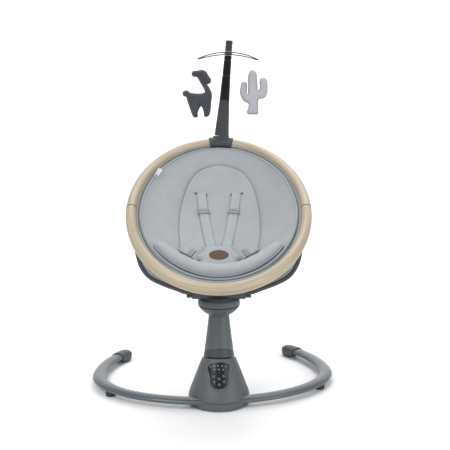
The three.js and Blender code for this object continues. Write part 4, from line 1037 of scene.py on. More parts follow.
def wall_between(low, high, count, edge):
    """Stalk wall between two edges that change round it, both eased inwards."""
    angle = np.arange(96) / 96 * 2 * np.pi
    rise = np.concatenate([[0, 0, 0.01, 0.03], np.linspace(0.06, 0.94, count), [0.97, 0.99, 1, 1]])
    inset = np.concatenate([[3, edge, edge * 0.4, 0.05], np.zeros(count), [0.05, edge * 0.4, edge, 3]])
    z = low(angle)[None] + rise[:, None] * (high(angle) - low(angle))[None]
    r = stalk_radius(z) - inset[:, None]
    return np.stack([r * np.cos(angle), r * np.sin(angle), z], -1)


cuff = wall_between(lambda a: np.full_like(a, SWAY_GAP / 2), lambda a: arch_height(a) - GAP, 16, 0.8)
Mould(SWAY).skin(cuff).cast("stalk_collar", DARK_PLASTIC, "stalk", "dark_plastic", ["stalk_cuff"])
shaft = wall_between(lambda a: arch_height(a) + GAP, lambda a: np.full_like(a, STALK_LENGTH + 6), 50, 0.7)
Mould(SWAY).skin(shaft).cast("stalk_shell", GREY_SHELL, "stalk", "grey_shell", ["stalk_tube"])

bowl_line = curve([(STALK_TOP_RADIUS + 1, HUB_BOTTOM_Z), (36, HUB_BOTTOM_Z + 6), (45, HUB_BOTTOM_Z + 14),
                   (HUB_RADIUS - 1.2, HUB_WIDEST_Z - 7.4)], 30)
bowl_profile = np.vstack([[(4, HUB_BOTTOM_Z + 1), (STALK_TOP_RADIUS - 1, HUB_BOTTOM_Z + 0.6)], bowl_line,
                          [(HUB_RADIUS - 2, HUB_WIDEST_Z - 7), (HUB_RADIUS - 4, HUB_WIDEST_Z - 7)]])
Mould(HUB).skin(spun(bowl_profile, 112)).cast(
    "hub_bowl_shell", GREY_SHELL, "stalk", "grey_shell", ["hub_bowl"])
cover_profile = soften([
    (8, HUB_WIDEST_Z - 5.7), (HUB_RADIUS - 0.9, HUB_WIDEST_Z - 5.7), (HUB_RADIUS, HUB_WIDEST_Z),
    (HUB_RADIUS - 1.6, HUB_TOP_Z - 1.6), (COLLAR_RADIUS + 1.5, HUB_TOP_Z + 0.6),
    (COLLAR_RADIUS, HUB_TOP_Z + 2), (COLLAR_RADIUS - 2, HUB_TOP_Z + 2), (8, HUB_TOP_Z + 1)], 2.2)
Mould(HUB).skin(spun(cover_profile, 112)).cast(
    "hub_cover_shell", GREY_SHELL, "stalk", "grey_shell", ["hub_cover"])

# ---------------------------------------------------------------- fork
pivot_z = SEAT_Z - PIVOT_DROP


def arm_surfaces():
    """Round-edged band up to the pivot, its depth narrowing to a round tip about the pivot."""
    line = curve([
        (SADDLE_HALF + 1.6, SADDLE_TOP_Z - 5.5), (83, SADDLE_TOP_Z - 3), (104, 284), (138, 297), (169, 314),
        (188, 340), (197, 372), (202, 410), (ARM_HALF_SPAN, pivot_z)], 130)
    tip_height = pivot_z + TIP_RADIUS * np.sin(np.linspace(0.05, 1.5, 14))
    tip = np.stack([np.full(14, ARM_HALF_SPAN), tip_height], -1)
    line = np.vstack([line, tip])
    narrow = np.clip((line[:, 1] - TAPER_FROM) / (pivot_z - TAPER_FROM), 0, 1)
    depth = ARM_DEPTH / 2 * (1 - narrow * (1 - TIP_RADIUS / (ARM_DEPTH / 2)))
    above = np.maximum(line[:, 1] - pivot_z, 0)
    depth = np.where(above > 0, np.sqrt(np.maximum(TIP_RADIUS**2 - above**2, 0.5)), depth)
    centre = HUB_Y + (SEAT_Y - HUB_Y) * smooth_step(narrow)
    path = np.stack([line[:, 0], centre, line[:, 1]], -1)
    ring = slab(2, 2, 0.7, 7)
    round_edge = np.stack([ring[:, 0] * ARM_THICKNESS / 2, ring[:, 1]], -1)
    section = np.broadcast_to(round_edge, (len(path),) + round_edge.shape).copy()
    section[..., 1] = np.sign(section[..., 1]) * np.maximum(
        0, depth[:, None] - (1 - np.abs(section[..., 1])) * np.minimum(8.0, depth[:, None]))
    rows, guide = carried(path * np.array([1, 0, 1]), section, (0, 1, 0))
    rows = rows + centre[:, None, None] * np.array([0, 1, 0])
    cap = spun(soften([(0.3, 0.9), (5.5, 0.9), (7, 0), (7, -3), (0.3, -3)], 0.8, 4), 32)
    cap = np.stack([-cap[..., 2], cap[..., 1], cap[..., 0]], -1)
    return [(rows, guide), cap + np.array([ARM_HALF_SPAN - ARM_THICKNESS / 2, SEAT_Y, pivot_z])]


pair("fork_blade", arm_surfaces, PART, DARK_PLASTIC, "stalk", "dark_plastic", ["fork_arm"])
saddle = Mould(PART)
saddle.skin(block((0, HUB_Y, (SADDLE_TOP_Z + HUB_TOP_Z + 2.5) / 2), (SADDLE_HALF, 25, 10), 3.5))
saddle.skin(block((0, HUB_Y, SADDLE_TOP_Z - 14.6), (79, 21, 3.1), 2))
spigot_profile = soften(
    [(2, HUB_TOP_Z - 2), (40, HUB_TOP_Z - 2), (40, HUB_TOP_Z + 6), (2, HUB_TOP_Z + 6)], 1)
saddle.skin(spun(spigot_profile, 64) + np.array([0, HUB_Y, 0]))
saddle.cast("fork_bridge", DARK_PLASTIC, "stalk", "dark_plastic", ["fork_saddle"])
button_profile = soften([(0.3, -5), (7, -5), (7, 2.4), (6, 3.4), (0.3, 3.5)], 0.8)
Mould(PART).skin(lying_round(button_profile, (0, HUB_Y + ARM_DEPTH / 2, SADDLE_TOP_Z - 7), 48)).cast(
    "recline_push", SATIN_BLACK, "recline_button", "gloss_black", ["recline_button"])


# ---------------------------------------------------------------- wooden ring
def ring_line(start, end, count, half_width=RING_HALF_WIDTH, half_length=RING_HALF_LENGTH, w=0.0):
    """Ellipse in the ring's plane between two angles."""
    t = np.linspace(start, end, count)
    return np.stack([half_width * np.cos(t), half_length * np.sin(t), np.full_like(t, w)], -1)


plate_turn = math.asin((JOINT_PLATE / 2 + 3 * GAP) / RING_HALF_LENGTH)
ring_section = oval(RING_RADIAL, RING_AXIAL, 48, 2.15)
for name, start in (("upper", 0), ("lower", math.pi)):
    path = evenly(ring_line(start + plate_turn, start + math.pi - plate_turn, 600), 170)
    ends = np.ones(170)
    ends[[0, -1]] = 0.965
    ends[[1, -2]] = 1.0
    rows, guide = carried(path, ring_section * ends[:, None, None])
    Mould(SEAT).skin(rows, guide + np.array([1300 if name == "lower" else 0, 0, 0])).cast(
        f"ring_half_{name}", BEECH_WOOD, "seat", "beech", [f"ring_{name}"])


def joiner_surfaces():
    """Thin oval plate between the halves, and an ear hanging from it to the pivot."""
    half = JOINT_PLATE / 2 + 0.5
    path = np.array([[RING_HALF_WIDTH, y, 0.0] for y in (-half, -half + 0.3, half - 0.3, half)])
    grow = np.array([0.97, 1.0, 1.0, 0.97])[:, None, None]
    plate, _ = carried(path, ring_section * grow)
    plate = inside_part(plate)
    ear_x = ARM_HALF_SPAN + ARM_THICKNESS / 2 + 3.6
    disc_profile = [(0.3, -3), (TIP_RADIUS, -3), (TIP_RADIUS, 3), (8, 3), (7.4, 2.2), (0.3, 2.2)]
    disc = spun(soften(disc_profile, 0.9, 4), 56)
    disc = np.stack([disc[..., 2], disc[..., 1], -disc[..., 0]], -1) + np.array([ear_x, SEAT_Y, pivot_z])
    neck = block((ear_x, SEAT_Y, pivot_z + 11), (3, 10, 12), 1.2)
    return [plate, disc, neck]


def inside_part(points):
    """Seat frame to part frame."""
    matrix = PART[0].T @ SEAT[0]
    return points @ matrix.T + PART[0].T @ (SEAT[1] - PART[1])


pair("ring_hinge", joiner_surfaces, PART, DARK_PLASTIC, "seat", "dark_plastic", ["ring_joiner"])

# ---------------------------------------------------------------- sling and pad
INNER_HALF_WIDTH = RING_HALF_WIDTH - RING_RADIAL / 2
INNER_HALF_LENGTH = RING_HALF_LENGTH - RING_RADIAL / 2
SLING_OUTER = (INNER_HALF_WIDTH - 0.8, INNER_HALF_LENGTH - 4.5, 24, -6)
SLING_INNER = (SLING_OUTER[0] - 4, SLING_OUTER[1] - 4, 22, -2)
PAD_OUTER = (SLING_INNER[0] - 2, SLING_INNER[1] - 2, 20, -1)
PAD_INNER = (SLING_INNER[0] - 9, SLING_INNER[1] - 9, 0, 3)


def seat_face(u, v, form):
    """Bowl: depth times (1 − rho^2.6)^0.8, rho being the share of the way to its oval rim."""
    half_width, half_length, extra, rim = form
    rho = np.minimum(np.hypot(u / half_width, v / half_length), 1)
    return rim - (SEAT_DEPTH + extra - DEPTH_SLOPE * v) * (1 - rho**2.6) ** 0.8


def bowl_rows(form, shares, places=288):
    """Polar grid on a bowl: shares of the way to the rim, by places round it."""
    angle = np.arange(places) / places * 2 * np.pi
    u = shares[:, None] * form[0] * np.cos(angle)
    v = shares[:, None] * form[1] * np.sin(angle)
    return np.stack([u, v, seat_face(u, v, form)], -1)


def sling_surface():
    """Inner face out to the rim and back along the outer face, gathered a little near the rim."""
    shares = 1 - np.linspace(1, 0, 46) ** 1.7 * 0.998
    inner = bowl_rows(SLING_INNER, shares)
    outer = bowl_rows(SLING_OUTER, shares)[::-1]
    angle = np.arange(288) / 288 * 2 * np.pi
    folds = (np.sin(23 * angle) + 0.6 * np.sin(37 * angle + 1.1) + 0.5 * np.sin(11 * angle))[None]
    near = (shares[::-1] ** 8)[:, None]
    outer[..., 2] += 1.3 * folds * near * (1 - shares[::-1, None] ** 60) - 0.6 * near
    seam = np.exp(-(outer[..., 0] / 2.2) ** 2) + np.exp(-((np.abs(outer[..., 0]) - 105) / 2.2) ** 2)
    outer[..., 2] += 1.2 * seam * (1 - near)
    return np.concatenate([inner, outer])


def on_ring(t, around, off):
    """Places on the ring's oval section: t round the ring, the angle round the section, and a lift."""
    inward = (RING_RADIAL / 2 + off) * np.cos(around)
    height = (RING_AXIAL / 2 + off) * np.sin(around)
    return np.stack([
        (RING_HALF_WIDTH - inward) * np.cos(t), (RING_HALF_LENGTH - inward) * np.sin(t),
        height * np.ones_like(t)], -1)


def collar_edge(t):
    """How far the collar wraps up the ring: least at the sides and most at the front."""
    return np.radians(6 + 8 * np.maximum(np.sin(t), 0) + 40 * np.maximum(-np.sin(t), 0) ** 3)


def collar_surface():
    """Sling cloth wrapped over the ring's inner face: a thin closed band just off its section."""
    t = np.arange(360) / 360 * 2 * np.pi
    share = np.linspace(0, 1, 16)[:, None]
    around = np.radians(-78) + share * (collar_edge(t)[None] - np.radians(-78))
    outside = on_ring(np.broadcast_to(t, around.shape), around, 1.2 + 0.2 * np.sin(41 * t) * share)
    inside_face = on_ring(np.broadcast_to(t, around.shape), around, 0.3)
    return np.concatenate([outside, inside_face[::-1]])


collar = Mould(SEAT).skin(collar_surface(), ring=True)
t = np.arange(360) / 360 * 2 * np.pi
for behind in (0, 14):
    edge = on_ring(t, collar_edge(t) - math.radians(behind), 1.5)
    collar.skin(looped(edge, 1.4, 10), ring=True)
collar.cast("ring_collar", KNIT_EDGE, "seat", "knit_grey")
Mould(SEAT).skin(sling_surface()).cast("seat_sling", KNIT, "seat", "knit_grey", ["sling"], 60)

EGG_SEAM = curve([
    (2, 223), (40, 213), (68, 192), (90, 152), (101, 100), (105, 45), (103, -10), (96, -60), (84, -100),
    (55, -132), (2, -144), (-52, -132), (-82, -100), (-93, -60), (-99, -10), (-101, 45), (-96, 100),
    (-84, 152), (-63, 192), (-36, 213)], 150, closed=True)


def pad_height(u, v):
    """Pad face with its fullness: it swells away from the egg seam and its rim, and dips at the seam."""
    flat = np.stack([u.ravel(), v.ravel()], -1)
    seam = distance_to(flat, EGG_SEAM).reshape(u.shape)
    inner = within(flat, EGG_SEAM).reshape(u.shape)
    rho = np.minimum(np.hypot(u / PAD_INNER[0], v / PAD_INNER[1]), 1)
    swell = np.where(inner, 4.2 * (1 - np.exp(-seam / 16)), 6.5 * (1 - np.exp(-seam / 13)))
    swell = swell * (1 - rho**9)
    dip = 2.6 * np.exp(-((seam / 2.2) ** 2))
    slots = np.exp(-(((np.abs(u) - SLOT_U) / 17) ** 4) - ((v - SLOT_V) / 3.2) ** 2)
    soft = 0.9 * np.sin(u / 31 + 0.6) * np.sin(v / 43 + 0.3) + 0.5 * np.sin(u / 17 - v / 23)
    pull = 1.1 * np.sin(v / 9.5) * np.exp(-((np.abs(u) - 118) / 22) ** 2) * np.exp(-((v + 60) / 70) ** 2)
    return seat_face(u, v, PAD_INNER) + swell - dip - 2.4 * slots + (soft + pull) * (1 - rho**6)


def pad_surface():
    """Top face out to a rolled rim, then under along the pad's back."""
    shares = 1 - np.linspace(1, 0, 120) ** 1.35 * 0.998
    inner = bowl_rows(PAD_INNER, shares, 360)
    inner[..., 2] = pad_height(inner[..., 0], inner[..., 1])
    outer = bowl_rows(PAD_OUTER, np.concatenate([shares[::6], [1.0]])[::-1], 360)
    return np.concatenate([inner, outer])


pad = Mould(SEAT).skin(pad_surface()).cast("padded_insert", KNIT, "seat", "knit_grey", ["seat_pad"], 75)


def tube_along(path, radius, sides=10, up=(0, 0, 1)):
    """Round cord along an open line."""
    return carried(path, oval(2 * radius, 2 * radius, sides), up)


edging = Mould(SEAT)
rim = ring_line(0, 2 * np.pi, 361, PAD_INNER[0] + 3, PAD_INNER[1] + 3, 3.2)[:-1]
edging.skin(looped(rim, 2.3, 12), ring=True)
sling_rim = ring_line(0, 2 * np.pi, 361, SLING_INNER[0] + 1.6, SLING_INNER[1] + 1.6, -2.2)[:-1]
edging.skin(looped(sling_rim, 2.0, 10), ring=True)
edging.cast("rim_piping", KNIT_EDGE, "seat", "knit_grey")


def on_pad(line, lift):
    """A plane line laid on the pad's face, lifted by that much."""
    line = np.asarray(line, float)
    return np.concatenate([line, (pad_height(line[:, 0], line[:, 1]) + lift)[:, None]], -1)


# The egg seam cord uses the darker seam cloth: painted shade along the seam crease.
stitches = Mould(SEAT)
stitches.skin(looped(on_pad(EGG_SEAM, 0.9), 0.9, 8), ring=True)
stitches.cast("insert_seam", PAINTED_SHADE_SEAM, "seat", "knit_grey")

# The patches in the slots and beside the crotch pad are near black: painted shade for the hollows of the
# strap slots and the leg gaps.
slots = Mould(SEAT)
welts = Mould(SEAT)
for middle_u, middle_v, wide, tall in (
        (SLOT_U, SLOT_V, 31, 4.2), (-SLOT_U, SLOT_V, 31, 4.2), (60, -98, 24, 15), (-60, -98, 24, 15)):
    middle_of_slot = np.array([middle_u, middle_v])
    ring = oval(wide, tall, 40, 3)
    share = np.array([0.03, 0.5, 1.0])[:, None, None]
    flat = middle_of_slot + share * ring[None]
    face = pad_height(flat[..., 0], flat[..., 1])
    slots.skin(np.concatenate([flat, face[..., None] + np.array([0.9, 0.9, 0.3])[:, None, None]], -1))
    outline = middle_of_slot + oval(wide + 2, tall + 2.2, 60, 3)
    welts.skin(looped(on_pad(outline, 0.5), 1.3, 8), ring=True)
slots.cast("strap_slot_shade", SLOT_SHADE_PAINT, "seat", "knit_grey")
welts.cast("slot_welts", PAINTED_SHADE_SEAM, "seat", "knit_grey")


def swell(piece, voxel, cap, pressure=4.0):
    """Padded fabric: remeshed, blown up as cloth, no point moving further than the cap.

    Each new point takes its guide from the three nearest old ones, weighted by one over distance.
    """
    old = piece.data
    old_points = read_vectors(old.vertices)
    old_guides = read_vectors(old.attributes["guide"].data, "vector")
    tree = KDTree(len(old_points))
    for k, point in enumerate(old_points):
        tree.insert(point, k)
    tree.balance()
    work = bpy.data.objects.new("swelling", remeshed(old.copy(), voxel * MM))
    bpy.context.scene.collection.objects.link(work)
    before = read_vectors(work.data.vertices)
    blown = work.modifiers.new("cloth", "CLOTH")
    blown.settings.quality = 6
    blown.settings.use_pressure = True
    blown.settings.uniform_pressure_force = pressure
    blown.settings.effector_weights.gravity = 0
    for number in range(1, SWELL_FRAMES + 1):
        bpy.context.scene.frame_set(number)
    graph = bpy.context.evaluated_depsgraph_get()
    after = read_vectors(work.evaluated_get(graph).data.vertices)
    bpy.context.scene.frame_set(1)
    move = after - before
    length = np.linalg.norm(move, axis=1, keepdims=True)
    move *= np.minimum(1, cap * MM / np.maximum(length, 1e-9))
    work.modifiers.clear()
    work.data.vertices.foreach_set("co", (before + move).ravel())
    finer = work.modifiers.new("finer", "SUBSURF")
    finer.levels = finer.render_levels = 1
    graph = bpy.context.evaluated_depsgraph_get()
    made = bpy.data.meshes.new_from_object(work.evaluated_get(graph))
    bpy.data.objects.remove(work)
    guides = np.zeros((len(made.vertices), 3))
    for k, vertex in enumerate(made.vertices):
        near = tree.find_n(vertex.co, 3)
        weights = np.array([1 / (distance + 1e-6) for _, _, distance in near])
        guides[k] = weights @ old_guides[[index for _, index, _ in near]] / weights.sum()
    guide = made.attributes.get("guide") or made.attributes.new("guide", "FLOAT_VECTOR", "POINT")
    guide.data.foreach_set("vector", guides.ravel())
    made.materials.clear()
    made.materials.append(old.materials[0])
    made.shade_smooth()
    piece.data = made
    made.name = piece.name


# ---------------------------------------------------------------- lip bolster
def face_of_pad(u, v):
    """CAD face of the pad, without its fullness."""
    return seat_face(u, v, PAD_INNER)


def ball_height(u, v, radius):
    """Height at which a ball rests on the pad: the most of face plus ball over its footprint."""
    t = np.arange(24) * np.pi / 12
    best = -1e9
    for share in (0, 0.4, 0.7, 0.9, 0.98):
        du = share * radius * np.cos(t)
        dv = share * radius * np.sin(t)
        best = max(best, float((face_of_pad(u + du, v + dv) + radius * math.sqrt(1 - share**2)).max()))
    return best


def bolster_radius(share):
    """Full in the middle and small at the ends: 0.35 plus 0.65 times sine to the 0.6."""
    return BOLSTER_RADIUS * (0.35 + 0.65 * np.sin(np.pi * np.clip(share, 0, 1)) ** 0.6)


bolster_points = []
for k in range(11):
    angle = (k / 5 - 1) * math.pi / 2
    u = 140 * math.sin(angle)
    v = -108 - 100 * math.cos(angle)
    bolster_points.append((u, v, ball_height(u, v, float(bolster_radius(k / 10)) + 2.5)))
bolster_line = curve(bolster_points, 150)
along_bolster = np.linspace(0, 1, 150)
bolster_ends = np.interp(along_bolster, [0, 0.015, 0.985, 1], [0.75, 1, 1, 0.75])
bolster_round = bolster_radius(along_bolster) * bolster_ends
folds = 1 + 0.012 * np.sin(along_bolster * 47) + 0.01 * np.sin(along_bolster * 81 + 1)
circle = oval(2, 2, 56, 2.15)
bolster_rows, bolster_guide = carried(bolster_line, circle * (bolster_round * folds - SWELL)[:, None, None])
bolster = Mould(SEAT).skin(bolster_rows, bolster_guide).cast(
    "lip_cushion", KNIT, "seat", "knit_grey", ["lip_bolster"], 60)
swell(bolster, 4.0, SWELL + 1.5)


def line_on_bolster(degrees, proud=0.4):
    """A line along the roll at one angle round it."""
    ahead = unit(np.gradient(bolster_line, axis=0))
    side = unit(np.cross(ahead, (0, 0, 1)))
    lift = np.cross(side, ahead)
    c, s = math.cos(math.radians(degrees)), math.sin(math.radians(degrees))
    reach = (bolster_round * folds + proud)[:, None]
    return bolster_line + reach * (c * side + s * lift)


bolster_seams = Mould(SEAT)
for degrees in (-12, 14):
    rows, guide = tube_along(line_on_bolster(degrees)[4:-4], 1.5)
    bolster_seams.skin(rows, guide)
bolster_seams.cast("lip_piping", KNIT_EDGE, "seat", "knit_grey")

# ---------------------------------------------------------------- harness
buckle_floor = float(face_of_pad(0, BUCKLE_V)) + 5.5


def strap_line(points, count):
    """A strap's line through places on the pad, each lifted by its own amount."""
    return curve([(u, v, float(face_of_pad(u, v)) + lift) for u, v, lift in points], count)


def strap_section(wide, thick):
    """Web with fuller edges: a flat slab, 15% thicker near each edge."""
    section = slab(wide, thick, thick * 0.45, 6)
    fuller = 1 + 0.15 * np.exp(-((np.abs(section[:, 0]) - wide / 2 + 2) / 1.2) ** 2)
    section[:, 1] *= fuller
    return section


shoulder_points = ((46, 142, 6), (42, 105, 8), (35, 55, 8), (27, 5, 7), (20, -35, 8), (15, BUCKLE_V + 22, 9))
shoulder_line = strap_line(shoulder_points, 120)
waist_points = ((94, -62, 10), (80, -70, 9), (62, -78, 8), (44, BUCKLE_V + 2, 8), (26, BUCKLE_V + 2, 9))
waist_line = strap_line(waist_points, 70)
pair("shoulder_web", lambda: [carried(shoulder_line, strap_section(STRAP_WIDTH, STRAP_THICKNESS))], SEAT, WEB,
     "seat", "strap_web", ["shoulder_strap"], 60)
pair("waist_web", lambda: [carried(waist_line, strap_section(WAIST_WIDTH, STRAP_THICKNESS))], SEAT, WEB,
     "seat", "strap_web", ["waist_strap"], 60)
crotch_line = np.array([
    (0, BUCKLE_V - 21.5, buckle_floor + 5), (0, BUCKLE_V - 34, buckle_floor + 7),
    (0, BUCKLE_V - 50, float(face_of_pad(0, BUCKLE_V - 50)) + 9),
    (0, BUCKLE_V - 64, float(face_of_pad(0, BUCKLE_V - 64)) + 7)])
rows, guide = carried(curve(crotch_line, 40), strap_section(30, STRAP_THICKNESS), (0, 0, 1))
Mould(SEAT).skin(rows, guide).cast("crotch_web", WEB, "seat", "strap_web", ["crotch_strap"], 60)


def adjuster_surfaces(line, share, wide, length):
    """Ladder buckle: a round-edged sleeve with a raised bar at each end and a lift tab."""
    k = int(share * (len(line) - 1))
    ahead = unit(line[k + 1] - line[k - 1])
    side = unit(np.cross(ahead, (0, 0, 1.0)))
    lift = np.cross(side, ahead)
    axes = np.stack([side, ahead, lift])

    def here(rows):
        return rows @ axes + line[k]

    pieces = [here(block((0, 0, 0.2), (wide / 2 + 3, length / 2, 3), 1.5))]
    for end in (-1, 1):
        pieces.append(here(block((0, end * (length / 2 - 1.9), 2.1), (wide / 2 + 2.4, 1.7, 1.7), 1.2)))
    pieces.append(here(block((0, -length / 2 - 0.6, 2.4), (wide / 3, 2.2, 0.9), 0.6)))
    return pieces


for name, line, share, wide, length in (
        ("shoulder", shoulder_line, 8 / 28, STRAP_WIDTH, 13), ("waist", waist_line, 8 / 20, WAIST_WIDTH, 11)):
    for side, flip in (("right", 1), ("left", -1)):
        slider = Mould(SEAT)
        for rows in adjuster_surfaces(line, share, wide, length):
            slider.skin(rows * np.array([flip, 1, 1]))
        slider.cast(f"{name}_slider_{side}", MID_PLASTIC, f"{name}_adjuster_{side}", "dark_plastic",
                    [f"{name}_adjuster_{side}"])

CROTCH_OUTLINE = curve([
    (0, 40), (34, 37), (40, 20), (55, 2), (43, -14), (39, -36), (0, -40), (-39, -36), (-43, -14), (-55, 2),
    (-40, 20), (-34, 37)], 140, closed=True)


def crotch_surface():
    """Shield-shaped cushion: crown falls as 1 − share^4, sides round in, back flat."""
    share = np.concatenate([np.linspace(0.02, 0.9, 26), [0.94, 0.97, 0.99, 1.0, 0.985, 0.95, 0.5, 0.03]])
    crown = 4.2 + 3.4 * (1 - np.linspace(0.02, 0.9, 26) ** 4)
    height = np.concatenate([crown, [4.6, 3.9, 3.0, 2.0, 1.0, 0.3, 0, 0]])
    flat = share[:, None, None] * CROTCH_OUTLINE[None]
    around = np.arange(140) / 140 * 2 * np.pi
    puckers = 0.25 * np.sin(around * 26)[None] * np.clip(share - 0.6, 0, 1)[:, None]
    z = height[:, None] + puckers
    return np.concatenate([flat, z[..., None]], -1) + np.array([0, BUCKLE_V, buckle_floor + CROTCH_LIFT])


crotch = Mould(SEAT).skin(crotch_surface()).cast(
    "crotch_cushion", KNIT, "seat", "knit_grey", ["crotch_pad"], 70)
swell(crotch, 2.0, 1.2)
binding = Mould(SEAT)
crotch_rim = np.concatenate([CROTCH_OUTLINE * 0.99, np.full((140, 1), 2.4)], -1)
binding.skin(looped(crotch_rim + np.array([0, BUCKLE_V, buckle_floor + CROTCH_LIFT]), 1.3, 10), ring=True)
binding.cast("crotch_binding", KNIT_EDGE, "seat", "knit_grey")


def patch_surface():
    """Thin oval of leather, pressed down along a line just inside its edge."""
    share = np.concatenate([np.linspace(0.02, 1, 40), [1.0, 0.97, 0.03]])
    press = 0.35 * np.exp(-((share - 0.87) / 0.02) ** 2)
    height = np.concatenate([1.4 - 0.25 * np.linspace(0.02, 1, 40) ** 6, [0.7, 0.1, 0]]) - press
    flat = share[:, None, None] * oval(47, 34, 96)[None]
    rows = np.concatenate([flat, np.broadcast_to(height[:, None, None], flat[..., :1].shape)], -1)
    tone = np.broadcast_to(np.exp(-((share - 0.9) / 0.06) ** 2)[:, None], flat.shape[:2])
    return rows + np.array([0, BUCKLE_V, buckle_floor + CROTCH_LIFT + CROTCH_CROWN + GAP]), tone


rows, tone = patch_surface()
Mould(SEAT).skin(rows, None, tone).cast("oval_patch", LEATHER, "seat", "patch_leather", ["leather_patch"])

tag = Mould(SEAT)
tag_turn = turn("x", 50) @ turn("z", -35)
tag.skin(block((0, 0, 0), (5.5, 12, 0.8), 0.6) @ tag_turn.T + np.array([-155, 140, 7]))
tag.cast("side_tag", TAG, "seat", "knit_grey")


# ---------------------------------------------------------------- ring clip and toy mast
def mast_forward(h):
    """How far the mast has curved forward: reach times the height's share to the 2.1."""
    return -MAST_REACH * (np.maximum(h, 0) / MAST_HEIGHT) ** 2.1


def mast_width(h):
    """Width: from base to top as (1 − share)^1.7."""
    return MAST_TOP_WIDTH + (MAST_BASE_WIDTH - MAST_TOP_WIDTH) * np.maximum(1 - h / MAST_HEIGHT, 0) ** 1.7


MAST_OVAL = oval(2, 2, 56, 2.6)


def mast_loft(heights, shrink):
    """Ovals stacked up the mast, each smaller all round by its own shrink."""
    h = np.broadcast_to(heights[:, None], (len(heights), len(MAST_OVAL)))
    depth = 11 + 9 * (1 - h / MAST_HEIGHT)
    inset = np.broadcast_to(np.asarray(shrink, float).reshape(-1, 1), h.shape)
    x = MAST_OVAL[None, :, 0] * (mast_width(h) / 2 - inset)
    y = mast_forward(h) + MAST_OVAL[None, :, 1] * (depth / 2 - inset)
    return np.stack([x, y, h], -1)


clip_half = 32 / RING_HALF_WIDTH
clip_angles = np.linspace(clip_place - clip_half, clip_place + clip_half, 30)
clip_path = np.stack([RING_HALF_WIDTH * np.cos(clip_angles), RING_HALF_LENGTH * np.sin(clip_angles),
                      np.zeros(30)], -1)
clip_ends = np.ones(30)
clip_ends[[0, -1]] = 0.9
clip_ends[[1, -2]] = 0.97
rows, guide = carried(clip_path, oval(RING_RADIAL + 7, RING_AXIAL + 7, 48, 2.2) * clip_ends[:, None, None])
clip = Mould(SEAT).skin(rows, guide)
socket = mast_loft(np.array([4, 10, 16, 19.5, 20.6, 21]), np.array([-2, -2, -2, -1.9, -1.4, -0.4]))
clip.skin(socket @ turn("x", -RECLINE).T + np.array(mast_foot))
clip.cast("mast_clip", DARK_PLASTIC, "seat", "dark_plastic", ["ring_clip"])

# The joint between the mast's halves arches across it: highest in the middle, lower at the edges.
split_arch = -MAST_ARCH * MAST_OVAL[None, :, 0] ** 2


def mast_heights(start, low, high, end, count):
    """Even heights from low to high, with a few closer ones at each end."""
    return np.concatenate([start, np.linspace(low, high, count), end])


def mast_bands(heights, *places):
    """Shallow grooves round the mast, each given by its height and half width."""
    return 0.9 * sum(np.exp(-((heights - middle) / half) ** 4) for middle, half in places)


low_heights = mast_heights(
    [SOCKET_TOP + 0.4, SOCKET_TOP + 0.8], SOCKET_TOP + 2, MAST_SPLIT - 2, [MAST_SPLIT - 0.8, MAST_SPLIT], 60)
lower = mast_loft(low_heights, np.concatenate([[1.5, 0.3], np.zeros(60), [0.2, 0.9]]))
lower[..., 2] += smooth_step((low_heights - 80) / (MAST_SPLIT - 80))[:, None] * split_arch
Mould(MAST).skin(lower).cast("mast_lower_shell", DARK_PLASTIC, "toy_mast", "dark_plastic", ["mast_lower"])
high_heights = mast_heights(
    [MAST_SPLIT + 0.5, MAST_SPLIT + 1.2], MAST_SPLIT + 3, BAR_LEVEL - 7, [BAR_LEVEL - 6, BAR_LEVEL - 5.3], 90)
high_ends = np.concatenate([[0.9, 0.2], np.zeros(90), [0.2, 0.9]])
upper = mast_loft(high_heights, mast_bands(high_heights, (180, 2.2), (219, 1.6)) + high_ends)
upper[..., 2] += (1 - smooth_step((high_heights - MAST_SPLIT) / 40))[:, None] * split_arch
Mould(MAST).skin(upper).cast("mast_upper_shell", GLOSS_BLACK, "toy_mast", "gloss_black", ["mast_upper"])
cap_heights = mast_heights(
    [BAR_LEVEL + 5.3, BAR_LEVEL + 6], BAR_LEVEL + 7, MAST_HEIGHT - 3,
    [MAST_HEIGHT - 1.5, MAST_HEIGHT - 0.5, MAST_HEIGHT], 40)
cap_ends = np.concatenate([[0.9, 0.2], np.zeros(40), [0.5, 1.5, 3.2]])
cap = mast_loft(cap_heights, mast_bands(cap_heights, (246, 1.4), (254, 1.4)) + cap_ends)
Mould(MAST).skin(cap).cast("mast_cap_shell", SATIN_BLACK, "toy_mast", "gloss_black", ["mast_cap"])

bar_y = float(mast_forward(np.array(BAR_LEVEL)))


def bar_height(u):
    """The bar droops as the square of the distance, and rises a little to the right."""
    return BAR_LEVEL - BAR_DROOP * (u / BAR_HALF_SPAN) ** 2 + BAR_LEVELLING * u


t = np.arange(200) / 200 * 2 * np.pi
bar_path = np.stack([
    BAR_HALF_SPAN * np.cos(t), bar_y + BAR_LOOP_HALF * np.sin(t),
    bar_height(BAR_HALF_SPAN * np.cos(t)) - BAR_LOOP_TILT * np.sin(t)], -1)
crossbar = Mould(MAST).skin(looped(bar_path, BAR_WIRE / 2, 12), ring=True)
bar_block_heights = BAR_LEVEL + np.array([-4.7, -4.3, -3, 0, 3, 4.3, 4.7])
crossbar.skin(mast_loft(bar_block_heights, np.array([1.2, 0.4, 0, -0.5, 0, 0.4, 1.2])))
crossbar.cast("toy_crossbar", SATIN_BLACK, "toy_mast", "gloss_black", ["crossbar"])

